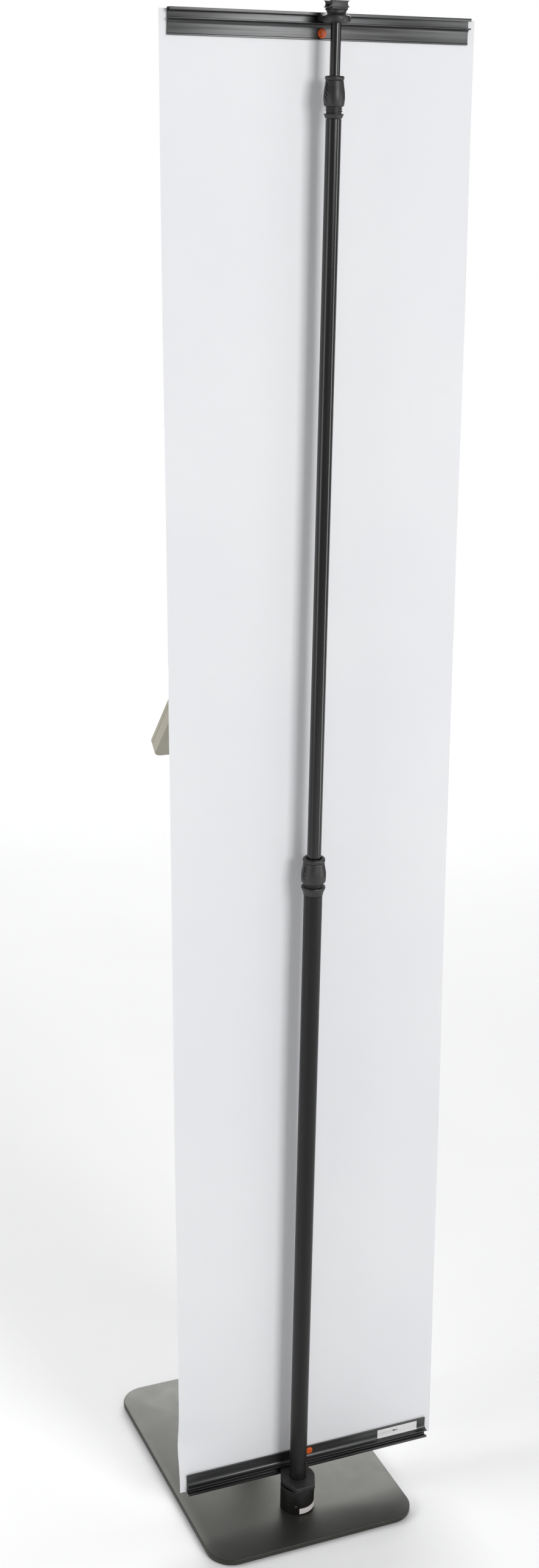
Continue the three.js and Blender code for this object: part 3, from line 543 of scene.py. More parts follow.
def pole_socket():
    low, high = corners("pole_socket")
    radius, bore = reach("pole_socket"), reach("lower_tube") + GAP
    floor = corners("lower_tube")[0].z - GAP
    body = turned([
        (radius - 0.5 * MM, low.z), (radius, low.z + 0.5 * MM), (radius, high.z - 1.5 * MM),
        (radius - 0.45 * MM, high.z - 0.45 * MM), (radius - 1.5 * MM, high.z), (bore + 0.6 * MM, high.z),
        (bore, high.z - 0.6 * MM), (bore, floor)], 96)
    screw = middle("socket_set_screw")
    outwards = math.atan2(screw.y - POLE.y, screw.x - POLE.x)
    to_screw = shift(0, 0, screw.z) @ Matrix.Rotation(outwards, 4, "Z") @ z_to_x
    hole = moved(rod(2.8 * MM, bore - 2 * MM, radius + MM, 24), to_screw)
    bolt_hole = rod(4.3 * MM, low.z - MM, floor + MM, 24)
    cut(body, hole, bolt_hole)
    mount(moved(body, on_pole), "socket", "stand", matt, "pole_socket")
    grub = turned([(2.2 * MM, bore), (2.5 * MM, bore + 0.4 * MM), (2.5 * MM, radius - 1.9 * MM),
                   (2.1 * MM, radius - 1.5 * MM)], 24)
    cut(grub, turned([(1.35 * MM, radius - 4 * MM), (1.35 * MM, radius)], 6))
    mount(moved(grub, on_pole @ to_screw), "grub_screw", "stand", zinc, "socket_set_screw")


def wrap_label():
    """Paper stuck round the socket, with its far end lifting off."""
    low, high = corners("socket_label")
    radius, thickness = reach("pole_socket") + 0.12 * MM, 0.22 * MM
    start, sweep, steps = 75, 104, 40
    lifted_from = 0.84
    line = []
    for i in range(steps + 1):
        share = i / steps
        angle = math.radians(start + sweep * share)
        loose = max(0.0, share - lifted_from) / (1 - lifted_from)
        line.append(Vector((math.cos(angle), math.sin(angle), 0)) * (radius + 2.4 * MM * loose ** 1.6))
    tilt = 1.5 * MM
    first = line[0] + Vector((0, 0, low.z + 0.3 * MM))
    obj = begin(bpy.ops.mesh.primitive_plane_add, size=MM, location=first)
    bpy.ops.mesh.merge(type="CENTER")
    pull((0, 0, high.z - low.z - tilt))
    bpy.ops.mesh.select_all(action="SELECT")
    for here, there in zip(line, line[1:]):
        pull((there.x - here.x, there.y - here.y, tilt / steps))
    finish_edit()
    wall = obj.modifiers.new("paper", "SOLIDIFY")
    wall.thickness, wall.offset = thickness, 1
    only(obj)
    bpy.ops.object.modifier_apply(modifier=wall.name)
    look = paper("wrap_paper", (0.74, 0.70, 0.69, 1))
    mount(moved(obj, on_pole), "wrap_label", "stand", look, "socket_label")


pole_socket()
wrap_label()


# Poles

def tube(node, name, wall, look):
    """An open tube with rounded ends, on the pole's axis."""
    low, high = corners(node)
    outer = reach(node)
    inner, edge = outer - wall, 0.35 * MM
    body = turned([
        (outer - edge, low.z), (outer, low.z + edge), (outer, high.z - edge), (outer - edge, high.z),
        (inner + edge, high.z), (inner, high.z - edge), (inner, low.z + edge), (inner + edge, low.z)],
        80, ringed=True)
    centre = middle(node)
    return mount(moved(body, shift(centre.x, centre.y)), name, body_of[node], look, node)


tube("lower_tube", "lower_pole", 1.2 * MM, matt)
tube("middle_tube", "middle_pole_tube", 1.1 * MM, satin)


def top_pole():
    node = "top_tube"
    low, high = corners(node)
    outer, inner, edge = reach(node), reach(node) - MM, 0.3 * MM
    wall = [(outer, low.z), (outer, high.z - edge), (outer - edge, high.z), (inner, high.z), (inner, low.z)]
    body = turned(wall, 64, ringed=True)
    pin = middle("top_clip_pin")
    cut(body, moved(rod(CLIP_PIN_BORE, -10 * MM, 10 * MM, 24), shift(0, 0, pin.z) @ z_to_x))
    mount(moved(body, on_pole), "top_pole_tube", "top_pole", satin, node)


top_pole()


# Twist locks

GRIP_GROUPS = (12, 132, 252)  # degrees round the nut


def grip_cutters(surface, heights, slant):
    """Slanted lens shapes, in groups round a nut, that cut its finger grooves."""
    made = []
    for group in GRIP_GROUPS:
        for height in heights:
            lens = begin(bpy.ops.mesh.primitive_uv_sphere_add, segments=16, ring_count=12, radius=MM)
            bpy.ops.transform.resize(value=(1.6, 1.0, 5.4), center_override=(0, 0, 0))
            finish_edit()
            place = about("Z", group) @ shift(surface(height) + 0.35 * MM, 0, height) @ about("X", slant)
            made.append(moved(lens, place))
    only(*made)
    bpy.ops.object.join()
    return bpy.context.object


def nut(lock, widest, foot, waist, bead, bead_height, mouth, thread_bore):
    """A twist nut: a barrel under a round bead, hollow for the collet's threads and the jaws."""
    node = f"{lock}_nut"
    low, high = corners(node)
    shoulder = high.z - bead_height
    tall = shoulder - low.z
    swell = 0.36

    def surface(height):
        share = (height - low.z) / tall
        if share < swell:
            return foot + (widest - foot) * math.sin(share / swell * math.pi / 2)
        fall = 0.5 + 0.5 * math.cos((share - swell) / (1 - swell) * math.pi)
        return waist + (widest - waist) * fall ** 0.8

    barrel = [(surface(low.z + tall * share), low.z + tall * share) for share in
              (0.05, 0.12, 0.2, 0.28, 0.36, 0.44, 0.52, 0.6, 0.68, 0.76, 0.84, 0.92, 0.97)]
    half = bead_height / 2
    roll = [(bead - half * 0.62 * (1 - math.cos(a)), shoulder + half + half * math.sin(a))
            for a in (math.radians(d) for d in range(-75, 91, 15))]
    body = turned([
        (thread_bore, low.z), (foot - 1.1 * MM, low.z), (foot - 0.4 * MM, low.z + 0.35 * MM), *barrel,
        (waist - 0.3 * MM, shoulder), *roll, (mouth + 0.8 * MM, high.z), (mouth, high.z - 0.8 * MM),
        (mouth, low.z + tall * 0.9), (thread_bore, low.z + tall * 0.58)], 96, ringed=True)
    heights = [low.z + tall * share for share in (0.34, 0.52, 0.7, 0.86)]
    cut(body, grip_cutters(surface, heights, 38))
    return mount(moved(body, on_pole), f"{lock}_twist_nut", body_of[node], plastic, node)


def collet(lock, outer_node, inner_node, flare, flare_height, pitch):
    """The threaded sleeve in the wider tube's mouth, flared where the nut comes down on it."""
    node = f"{lock}_collet"
    low, high = corners(node)
    core, bore = reach(outer_node), reach(inner_node) + GAP
    seat = corners(outer_node)[1].z + GAP
    crown = seat + flare_height
    spigot = core - 1.5 * MM
    body = turned([
        (spigot - 0.4 * MM, low.z), (spigot, low.z + 0.5 * MM), (spigot, seat), (core + 0.2 * MM, seat),
        (core + 0.7 * MM, seat + 0.4 * MM), (core + 0.9 * MM, seat + flare_height * 0.24),
        (flare - 0.5 * MM, crown - flare_height * 0.3), (flare, crown - flare_height * 0.2),
        (flare - 0.05 * MM, crown - flare_height * 0.12), (flare - 0.6 * MM, crown - 0.3 * MM),
        (core + 0.9 * MM, crown), (core - 0.2 * MM, crown + 0.3 * MM), (core - 0.2 * MM, high.z - 0.4 * MM),
        (core - 0.6 * MM, high.z), (bore, high.z), (bore, low.z)], 80, ringed=True)
    root, crest = core - 0.5 * MM, core + 0.75 * MM
    ridge = drawn([(root, 0, 0), (crest, 0, pitch * 0.3), (crest, 0, pitch * 0.5), (root, 0, pitch * 0.8)],
                  (0, 0.01 * MM, 0))
    bpy.ops.object.mode_set(mode="EDIT")
    pick(ridge, "FACE", lambda centre, normal: abs(normal.y) < 0.5 or centre.y > 0.005 * MM)
    bpy.ops.mesh.delete(type="FACE")
    bpy.ops.mesh.select_all(action="SELECT")
    bpy.ops.mesh.delete(type="ONLY_FACE")
    bpy.ops.object.mode_set(mode="OBJECT")
    turns = int((high.z - crown - 0.4 * MM) / pitch - 0.6)
    helix = ridge.modifiers.new("thread", "SCREW")
    helix.axis, helix.screw_offset, helix.iterations = "Z", pitch, turns
    helix.steps = helix.render_steps = 48
    helix.use_merge_vertices = False
    only(ridge)
    bpy.ops.object.modifier_apply(modifier=helix.name)
    bpy.ops.object.mode_set(mode="EDIT")
    bpy.ops.mesh.select_all(action="SELECT")
    bpy.ops.mesh.fill_holes(sides=0)
    finish_edit()
    moved(ridge, shift(0, 0, crown + 0.5 * MM))
    only(body, ridge)
    bpy.ops.object.join()
    return mount(moved(body, on_pole), f"{lock}_thread_collet", body_of[node], plastic, node)


nut("lower_lock", widest=16.6 * MM, foot=16.2 * MM, waist=14.2 * MM, bead=15 * MM, bead_height=6.6 * MM,
    mouth=10.5 * MM, thread_bore=13.8 * MM)
nut("upper_lock", widest=12.8 * MM, foot=11.8 * MM, waist=10.8 * MM, bead=11.5 * MM, bead_height=4.8 * MM,
    mouth=7.3 * MM, thread_bore=10.7 * MM)
collet("lower_lock", "lower_tube", "middle_tube", flare=16.2 * MM, flare_height=12 * MM, pitch=2.9 * MM)
collet("upper_lock", "middle_tube", "top_tube", flare=12 * MM, flare_height=5.4 * MM, pitch=2.6 * MM)


# Hook clips

HOOK_INNER, HOOK_GROOVE, HOOK_DEEP, HOOK_PLATE = 22.3 * MM, 2.8 * MM, 2.8 * MM, 7.5 * MM


def bottom_clip():
    low, high = corners("bottom_clip")
    depth, wide, lip, shoulder = 30.5 * MM, 25 * MM, 14.5 * MM, 5 * MM
    under = high.z - HOOK_PLATE
    outline = [(-lip, -depth), (lip, -depth), (wide, -shoulder), (wide, shoulder),
               (lip, depth), (-lip, depth), (-wide, shoulder), (-wide, -shoulder)]
    body = drawn([(x, y, under) for x, y in outline], (0, 0, high.z - under))
    bpy.ops.object.mode_set(mode="EDIT")
    pick(body, "EDGE", lambda centre, run: abs(run.normalized().z) > 0.9)
    bpy.ops.mesh.bevel(offset=2.6 * MM, segments=5, affect="EDGES")
    finish_edit()
    soften(body, 0.9 * MM, 4, 50)
    bore = reach("lower_tube") + GAP
    neck = turned([(20 * MM, low.z), (20 * MM, under + 0.5 * MM)], 64)
    collar = turned([(15.4 * MM, high.z - 0.5 * MM), (15.4 * MM, high.z - 0.02 * MM), (15 * MM, high.z)], 64)
    fuse(body, neck, collar)
    channels = [plate(-40 * MM, 40 * MM, y, y + HOOK_GROOVE, low.z - MM, under + HOOK_DEEP)
                for y in (-HOOK_INNER - HOOK_GROOVE, HOOK_INNER)]
    cut(body, rod(bore, low.z - MM, high.z + MM, 64), *channels)
    mount(moved(body, on_pole), "lower_hook_clip", "stand", plastic, "bottom_clip", angle=30)


def top_clip():
    low, high = corners("top_clip")
    hook_under = low.z + 2.5 * MM
    hook_top = hook_under + HOOK_PLATE
    tip = corners("top_tube")[1].z
    depth = POLE.y - low.y
    tongue = plate(-12 * MM, 12 * MM, -depth, 8 * MM, hook_under, hook_top, 1.6 * MM, 4)
    soften(tongue, 0.8 * MM, 3, 50)
    r = 17 * MM
    collar = turned([
        (r - 3.2 * MM, low.z), (r - 1.7 * MM, low.z + 0.4 * MM), (r - 0.5 * MM, low.z + 1.4 * MM),
        (r, low.z + 2.9 * MM), (r, hook_under + 3.8 * MM), (r - 0.4 * MM, hook_under + 4.8 * MM),
        (r - 1.6 * MM, hook_under + 5.5 * MM), (r - 3.9 * MM, hook_under + 6.3 * MM),
        (r - 5.2 * MM, hook_under + 7.8 * MM), (r - 5.5 * MM, hook_under + 9.2 * MM),
        (r - 5 * MM, tip - 0.9 * MM), (r - 3.6 * MM, tip + 0.2 * MM)], 72)
    wing, deep = 13.3 * MM, 10 * MM
    flange = drawn([(-wing, 0, tip - MM), (-wing + 3 * MM, -deep, tip - MM), (wing - 3 * MM, -deep, tip - MM),
                    (wing, 0, tip - MM), (wing - 3 * MM, deep, tip - MM), (-wing + 3 * MM, deep, tip - MM)],
                   (0, 0, 3.5 * MM), 1.5 * MM, 4)
    soften(flange, 1.1 * MM, 3, 40)

    def ear(y):
        half, foot = 13.2 * MM, tip + 2 * MM
        side = []
        for share in (0, 0.14, 0.3, 0.45, 0.6, 0.75, 0.9, 1):
            scoop = 2.7 * MM * math.sin(min(1, share * 1.06) * math.pi * 0.86) ** 0.8 if share < 1 else 0
            side.append((half - scoop - 0.4 * MM, foot + share * (high.z - foot)))
        outline = [(x, z) for x, z in side] + [(-x, z) for x, z in reversed(side)]
        blade = drawn([(x, y - 1.6 * MM, z) for x, z in outline], (0, 3.2 * MM, 0))
        return soften(blade, 0.45 * MM, 2, 50)

    bridge = plate(-4.5 * MM, 4.5 * MM, -7.6 * MM, 7.6 * MM, tip + 1.5 * MM, tip + 6 * MM)
    seam = plate(-0.35 * MM, 0.35 * MM, 0, r + 0.22 * MM, low.z + 1.6 * MM, hook_under + 5 * MM)
    body = fuse(collar, tongue, flange, ear(-8.2 * MM), ear(8.2 * MM), bridge, moved(seam, about("Z", 6)))
    pin = middle("top_clip_pin")
    pin_hole = moved(rod(CLIP_PIN_BORE, -25 * MM, 25 * MM, 24), shift(0, 0, pin.z) @ z_to_x)
    channel = plate(-40 * MM, 40 * MM, -HOOK_INNER - HOOK_GROOVE, -HOOK_INNER,
                    hook_top - HOOK_DEEP, hook_top + MM)
    cut(body, rod(reach("top_tube") + GAP, low.z - MM, tip + GAP, 64), pin_hole, channel)
    mount(moved(body, on_pole), "upper_hook_clip", "top_pole", plastic, "top_clip", angle=30)
    half = reach("top_clip_pin")
    rivet = turned([(1.1 * MM, -half), (1.4 * MM, -half + 0.3 * MM),
                    (1.4 * MM, half - 0.3 * MM), (1.1 * MM, half)], 24)
    mount(moved(rivet, on_pole @ shift(0, 0, pin.z) @ z_to_x), "cross_pin", "top_pole", zinc, "top_clip_pin")


bottom_clip()
top_clip()


# Rails

RAIL_WALL, RAIL_DEPTH, RAIL_LIP, RAIL_CHANNEL, RAIL_RIB, RAIL_FILLET = 1.5, 8, 1.4, 9.6, 1.6, 4.7
FILLET_END = RAIL_LIP + RAIL_CHANNEL + RAIL_RIB + RAIL_FILLET


def arc(cy, cz, radius, start, end, steps):
    angles = [math.radians(start + (end - start) * i / steps) for i in range(steps + 1)]
    return [(cy + radius * math.cos(a), cz + radius * math.sin(a)) for a in angles]


def rail(name, body, up):
    """A drawn rail: lip with a turned edge, channel, rib on a fillet, and a flat web ending in a bead."""
    node = f"{name}_rail"
    low, high = corners(node)
    tall = (high.z - low.z) / MM
    rib = RAIL_LIP + RAIL_CHANNEL
    section = [
        (-RAIL_WALL, 0), (RAIL_DEPTH, 0), (RAIL_DEPTH, -RAIL_LIP - 2), (RAIL_DEPTH - 0.5, -RAIL_LIP - 2.25),
        (RAIL_DEPTH - 1.4, -RAIL_LIP - 2), (RAIL_DEPTH - 1.4, -RAIL_LIP), (0.5, -RAIL_LIP),
        (0, -RAIL_LIP - 0.5),
        (0, -rib + 0.5), (0.5, -rib), (RAIL_DEPTH - 0.5, -rib), (RAIL_DEPTH, -rib - 0.3),
        (RAIL_DEPTH, -rib - RAIL_RIB + 0.3), (RAIL_DEPTH - 0.5, -rib - RAIL_RIB),
        *arc(RAIL_FILLET, -FILLET_END, RAIL_FILLET, 90, 180, 10),
        (0, -tall + 2.2), (0.55, -tall + 1.5), (0.6, -tall + 0.3), (0.3, -tall), (-RAIL_WALL, -tall)]
    web, edge = low.y + RAIL_WALL * MM, high.z if up > 0 else low.z
    body_mesh = drawn([(low.x, web + y * MM, edge + z * up * MM) for y, z in section], (high.x - low.x, 0, 0))
    soften(body_mesh, 0.18 * MM, 2, 50)
    dot = middle(f"{name}_rail_dot")
    cut(body_mesh, moved(rod(2.7 * MM, -4 * MM, 4 * MM, 32), shift(dot.x, web, dot.z) @ z_to_y))
    mount(body_mesh, f"{name}_rail_bar", body, anodised, node, angle=25)


def rail_dot(name, body):
    """A push-in stud with a low domed head."""
    node = f"{name}_rail_dot"
    low, high = corners(node)
    radius, head = reach(node), 1.6 * MM
    crown = high.y - low.y
    rise, neck = head * 0.55, crown - head
    dome = [(radius * math.cos(math.radians(a)), crown - rise + rise * math.sin(math.radians(a)))
            for a in (8, 20, 34, 48, 62, 76, 86)]
    stud = turned([(2 * MM, 0), (2.4 * MM, 0.4 * MM), (2.4 * MM, neck), (radius - 0.3 * MM, neck),
                   (radius, neck + 0.3 * MM), *dome], 48)
    centre = middle(node)
    mount(moved(stud, shift(centre.x, low.y, centre.z) @ z_to_y), f"{name}_dot", body, orange, node)


for name, body, up in (("top", "top_pole", 1), ("bottom", "stand", -1)):
    rail(name, body, up)
    rail_dot(name, body)


def rail_label():
    """A paper label over the web and the start of the fillet, printed with a plain pointer."""
    low, high = corners("bottom_rail_label")
    rail_low = corners("bottom_rail")[0]
    web, edge = rail_low.y + RAIL_WALL * MM, rail_low.z
    inner, outer = RAIL_FILLET - 0.1, RAIL_FILLET - 0.32
    top = 27.4
    section = [(0.1, top), *[(y, -z) for y, z in arc(RAIL_FILLET, -FILLET_END, inner, 180, 128, 8)],
               *[(y, -z) for y, z in arc(RAIL_FILLET, -FILLET_END, outer, 128, 180, 8)], (0.32, top)]
    obj = drawn([(low.x, web + y * MM, edge + z * MM) for y, z in section], (high.x - low.x, 0, 0))
    bpy.ops.object.mode_set(mode="EDIT")
    short = 0.5 * MM
    pick(obj, "EDGE", lambda centre, run: run.length < short and abs(run.normalized().x) < 0.1 and
         (centre.z > edge + (top - 0.2) * MM or centre.y > web + (RAIL_FILLET - inner * 0.64) * MM))
    bpy.ops.mesh.bevel(offset=2.2 * MM, segments=6, affect="EDGES", clamp_overlap=True)
    finish_edit()
    pointer = (high.x - 5 * MM, high.x - 35 * MM, edge + 21 * MM)
    look = paper("rail_paper", (0.76, 0.76, 0.75, 1), pointer)
    mount(obj, "rail_label", "stand", look, "bottom_rail_label", angle=25)


rail_label()


# Banner: one film, cut in two at a seam

def banner():
    low, high = corners("banner")
    width, tall = 406 * MM, high.z - low.z
    thickness = high.y - low.y
    across, up = 48, 200
    obj = begin(bpy.ops.mesh.primitive_grid_add, x_subdivisions=across, y_subdivisions=up, size=1)
    finish_edit()
    drop = corners("bottom_rail")[1].z
    head = corners("top_rail")[0].z
    ease = 0.12
    for vertex in obj.data.vertices:
        u, v = vertex.co.x + 0.5, vertex.co.y + 0.5
        z = low.z + v * tall
        x = low.x + u * width + v * (high.x - low.x - width)
        free = min(1, max(0, (z - drop) / ease)) * min(1, max(0, (head - z) / ease))
        free = free * free * (3 - 2 * free)
        side = max(0.0, (u - 0.72) / 0.28)
        curl = -7.5 * MM * side ** 2 * math.exp(-((z - drop - 0.045) / 0.035) ** 2)
        left_lift = -2.2 * MM * max(0.0, (0.14 - u) / 0.14) ** 2 * math.sin(v * math.pi)
        wave = 0.9 * MM * math.sin(v * 9.5 + 2.1 * u) + 0.5 * MM * math.sin(v * 23 + 1.3 + 3 * u)
        vertex.co = (x, (low.y + high.y) / 2 + curl + free * (wave - 0.6 * MM + left_lift), z)
    obj.data.update()
    wall = obj.modifiers.new("film", "SOLIDIFY")
    wall.thickness, wall.offset = thickness * 0.9, 0
    only(obj)
    bpy.ops.object.modifier_apply(modifier=wall.name)
    seam = 1.80
    upper = copied(obj)
    for part, outer in ((obj, True), (upper, False)):
        only(part)
        bpy.ops.object.mode_set(mode="EDIT")
        bpy.ops.mesh.select_all(action="SELECT")
        bpy.ops.mesh.bisect(plane_co=(0, 0, seam), plane_no=(0, 0, 1), use_fill=True,
                            clear_outer=outer, clear_inner=not outer)
        finish_edit()
    mount(obj, "banner_lower", "stand", film, "banner")
    travel = -joint_of["middle_tube_slide"]["range_m"][0]
    1 - travel / (seam - low.z)
    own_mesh(obj)
    only(upper)
    bpy.ops.object.shade_smooth_by_angle(angle=math.radians(38))
    upper.name = upper.data.name = "banner_upper"
    upper.data.materials.clear()
    upper.data.materials.append(film.material)
    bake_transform(upper)
    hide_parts("banner")


banner()


# Post, yoke and knob

def post():
    low, high = corners("post_flange")
    top = corners("post_tube")[0].z - GAP
    radius, bore = reach("post_flange"), reach("post_tube")
    spigot = bore - 1.8 * MM
    flange = turned([
        (radius - 0.5 * MM, low.z), (radius, low.z + 0.5 * MM), (radius, top - 1.6 * MM),
        (radius - 0.5 * MM, top - 0.5 * MM), (radius - 1.6 * MM, top), (spigot, top),
        (spigot, high.z - 0.5 * MM), (spigot - 0.5 * MM, high.z)], 96)
    for i in (1, 2, 3):
        centre = middle(f"flange_bolt_{i}") - POST
        cut(flange, moved(rod(3.3 * MM, low.z - MM, top + MM, 32), shift(centre.x, centre.y)))
    mount(moved(flange, on_post), "post_foot", "stand", powder, "post_flange")
    for i in (1, 2, 3):
        node = f"flange_bolt_{i}"
        screw_low, screw_high = corners(node)
        head, shank = reach(node), 3 * MM
        screw = turned([(head - 0.2 * MM, screw_low.z), (head, screw_low.z + 0.2 * MM),
                        (shank, screw_low.z + head - shank), (shank, screw_high.z - 0.5 * MM),
                        (shank - 0.5 * MM, screw_high.z)], 40)
        cut(screw, turned([(1.9 * MM, screw_low.z - MM), (1.9 * MM, screw_low.z + 2.2 * MM)], 6))
        centre = middle(node)
        mount(moved(screw, shift(centre.x, centre.y)), f"flange_screw_{i}", "stand", zinc, node)
    tube("post_tube", "post", 1.5 * MM, powder)


def yoke():
    foot = corners("tilt_yoke")[0].z - HINGE.z
    seat = corners("post_tube")[1].z + GAP - HINGE.z
    spigot, cap = reach("post_tube") - 1.8 * MM, reach("post_tube") + 1.8 * MM
    inside, wall, radius = 15.3 * MM, 5 * MM, 12 * MM
    base = turned([
        (spigot - 0.8 * MM, foot), (spigot, foot + 0.8 * MM), (spigot, seat), (cap - 0.6 * MM, seat),
        (cap, seat + 0.6 * MM), (cap, seat + 6.4 * MM), (cap - 0.5 * MM, seat + 7.4 * MM),
        (cap - 1.6 * MM, seat + 8 * MM)], 72)
    side = [(-radius, seat + 4 * MM), (radius, seat + 4 * MM)]
    side += arc(0, 0, radius, 0, 180, 18)
    cheeks = [soften(drawn([(x, y, z) for y, z in side], (wall, 0, 0)), 0.8 * MM, 3, 50)
              for x in (-inside - wall, inside)]
    fuse(base, *cheeks)
    cut(base, moved(rod(HINGE_PIN_BORE, -30 * MM, 30 * MM, 40), z_to_x))
    mount(moved(base, on_hinge), "yoke", "stand", powder, "tilt_yoke")


def pin_and_knob():
    low, high = corners("tilt_pin")
    shank, head = 4 * MM, 7.6 * MM
    end, tip = low.x - HINGE.x, high.x - HINGE.x
    shoulder = tip - 4.5 * MM
    pin = turned([(shank - 0.5 * MM, end), (shank, end + 0.5 * MM), (shank, shoulder),
                  (head - 0.3 * MM, shoulder), (head, shoulder + 0.3 * MM), (head, tip - 1.1 * MM),
                  (head - 0.5 * MM, tip - 0.3 * MM), (head - 1.5 * MM, tip)], 56)
    cut(pin, turned([(2.9 * MM, tip - 2.6 * MM), (2.9 * MM, tip + MM)], 6))
    mount(moved(pin, on_hinge @ z_to_x), "hinge_pin", "stand", zinc, "tilt_pin")
    knob_low, knob_high = corners("tilt_knob")
    outer, hub = knob_low.x - HINGE.x, knob_high.x - HINGE.x
    lobes, radius, dip = 6, 13.8 * MM, 1.15 * MM
    outline = []
    for i in range(72):
        angle = i * TURN / 72
        r = radius + dip * math.cos(lobes * angle)
        outline.append((r * math.cos(angle), r * math.sin(angle), outer))
    grip = drawn(outline, (0, 0, 12 * MM))
    soften(grip, 1.3 * MM, 4, 50)
    dish = turned([(7.2 * MM, outer - MM), (7.2 * MM, outer + 0.35 * MM), (6.6 * MM, outer + 0.9 * MM)], 48)
    cut(grip, dish)
    fuse(grip, turned([(8 * MM, outer + 11 * MM), (8 * MM, hub - 0.5 * MM), (7.5 * MM, hub)], 48))
    cut(grip, rod(HINGE_PIN_BORE, end - GAP, hub + MM, 40))
    mount(moved(grip, on_hinge @ z_to_x), "tightening_knob", "knob", plastic, "tilt_knob", angle=30)


post()
yoke()
pin_and_knob()


# Tablet case, drawn flat about the hinge and then laid at its tilt

CASE_WIDTH, CASE_LENGTH, CASE_BACK = 266 * MM, 200 * MM, 17 * MM
CASE_THICKNESS, FRAME_THICKNESS = 22.5 * MM, 6 * MM
CASE_FLOOR, CASE_WALL, CASE_CORNER = 2.5 * MM, 3 * MM, 12 * MM
HALF_X, HALF_Y = CASE_WIDTH / 2, CASE_LENGTH / 2
TRAY_TOP, FLOOR_TOP = CASE_BACK + CASE_THICKNESS - FRAME_THICKNESS, CASE_BACK + CASE_FLOOR
CAM_X, CAM_Y, CAM_RADIUS = -70 * MM, -84 * MM, 5.5 * MM
BLOCK_SCREWS = (-8 * MM, 8 * MM)


def centred(half_x, half_y, z0, z1, corner, steps=12):
    return plate(-half_x, half_x, -half_y, half_y, z0, z1, corner, steps)


def enclosure():
    tray = centred(HALF_X, HALF_Y, CASE_BACK, TRAY_TOP - GAP, CASE_CORNER)
    soften(tray, 1.6 * MM, 4, 60)
    cut(tray, centred(HALF_X - CASE_WALL, HALF_Y - CASE_WALL, FLOOR_TOP, TRAY_TOP + 5 * MM,
                      CASE_CORNER - CASE_WALL))
    holes = [moved(rod(CAM_RADIUS + GAP, CASE_BACK - MM, FLOOR_TOP + MM, 40), shift(CAM_X, CAM_Y))]
    holes += [moved(rod(BLOCK_SCREW_BORE, CASE_BACK - MM, FLOOR_TOP + MM, 24), shift(0, y))
              for y in BLOCK_SCREWS]
    cut(tray, *holes)
    mount(moved(tray, on_case), "case_tray", "enclosure", beige, "enclosure_tray", angle=30)
    top = TRAY_TOP + FRAME_THICKNESS
    front = centred(HALF_X, HALF_Y, TRAY_TOP, top, CASE_CORNER)
    window = centred(HALF_X - 31 * MM, HALF_Y - 23 * MM, TRAY_TOP - 5 * MM, top + 5 * MM, 4 * MM, 6)
    cut(front, window)
    soften(front, 1.4 * MM, 4, 60)
    left, right = CAM_X - 4 * MM, CAM_X + 4 * MM
    stem_y, foot = -HALF_Y + CASE_WALL + 0.6 * MM, FLOOR_TOP + 0.6 * MM
    stem = plate(left, right, stem_y, stem_y + 2.2 * MM, foot, TRAY_TOP + 2 * MM)
    toe = plate(left, right, stem_y, stem_y + 6.8 * MM, foot, FLOOR_TOP + 2.8 * MM)
    fuse(front, soften(fuse(stem, toe), 0.3 * MM, 2, 50))
    mount(moved(front, on_case), "case_front", "enclosure", beige, "enclosure_frame", angle=30)


def foam_pads():
    half = 8 * MM
    first = centred(half, half, FLOOR_TOP + GAP, FLOOR_TOP + GAP + 3 * MM, 2 * MM, 5)
    soften(first, 0.6 * MM, 3, 60)
    for i, (sx, sy) in enumerate(((-1, -1), (1, -1), (-1, 1), (1, 1)), 1):
        place = on_case @ shift(sx * (HALF_X - 25 * MM), sy * (HALF_Y - 25 * MM))
        pad = mount(copied(first, place), f"foam_pad_{i}", "enclosure", cushion, f"tablet_pad_{i}")
    bpy.data.objects.remove(first)


def tilt_block():
    half, radius = 15 * MM, 12 * MM
    side = [(radius, CASE_BACK - GAP), (-radius, CASE_BACK - GAP)]
    side += arc(0, 0, radius, 180, 360, 18)
    block = soften(drawn([(-half, y, z) for y, z in side], (2 * half, 0, 0)), 0.8 * MM, 3, 50)
    cut(block, moved(rod(HINGE_PIN_BORE, -20 * MM, 20 * MM, 40), z_to_x),
        *[moved(rod(BLOCK_SCREW_BORE, 6 * MM, CASE_BACK + MM, 24), shift(0, y)) for y in BLOCK_SCREWS])
    mount(moved(block, on_case), "hinge_block", "enclosure", powder, "tilt_block")
    first = turned([
        (1.7 * MM, CASE_BACK - 8 * MM), (2 * MM, CASE_BACK - 7.7 * MM), (2 * MM, FLOOR_TOP + GAP),
        (3.8 * MM, FLOOR_TOP + GAP), (4 * MM, FLOOR_TOP + 0.6 * MM), (3.8 * MM, FLOOR_TOP + 1.4 * MM),
        (3.2 * MM, FLOOR_TOP + 1.95 * MM), (2.2 * MM, FLOOR_TOP + 2.2 * MM)], 32)
    cut(first, turned([(1.3 * MM, FLOOR_TOP + 0.9 * MM), (1.3 * MM, FLOOR_TOP + 4 * MM)], 6))
    for i, y in enumerate(BLOCK_SCREWS, 1):
        screw = copied(first, on_case @ shift(0, y))
        mount(screw, f"hinge_block_screw_{i}", "enclosure", zinc, f"block_screw_{i}")
    bpy.data.objects.remove(first)


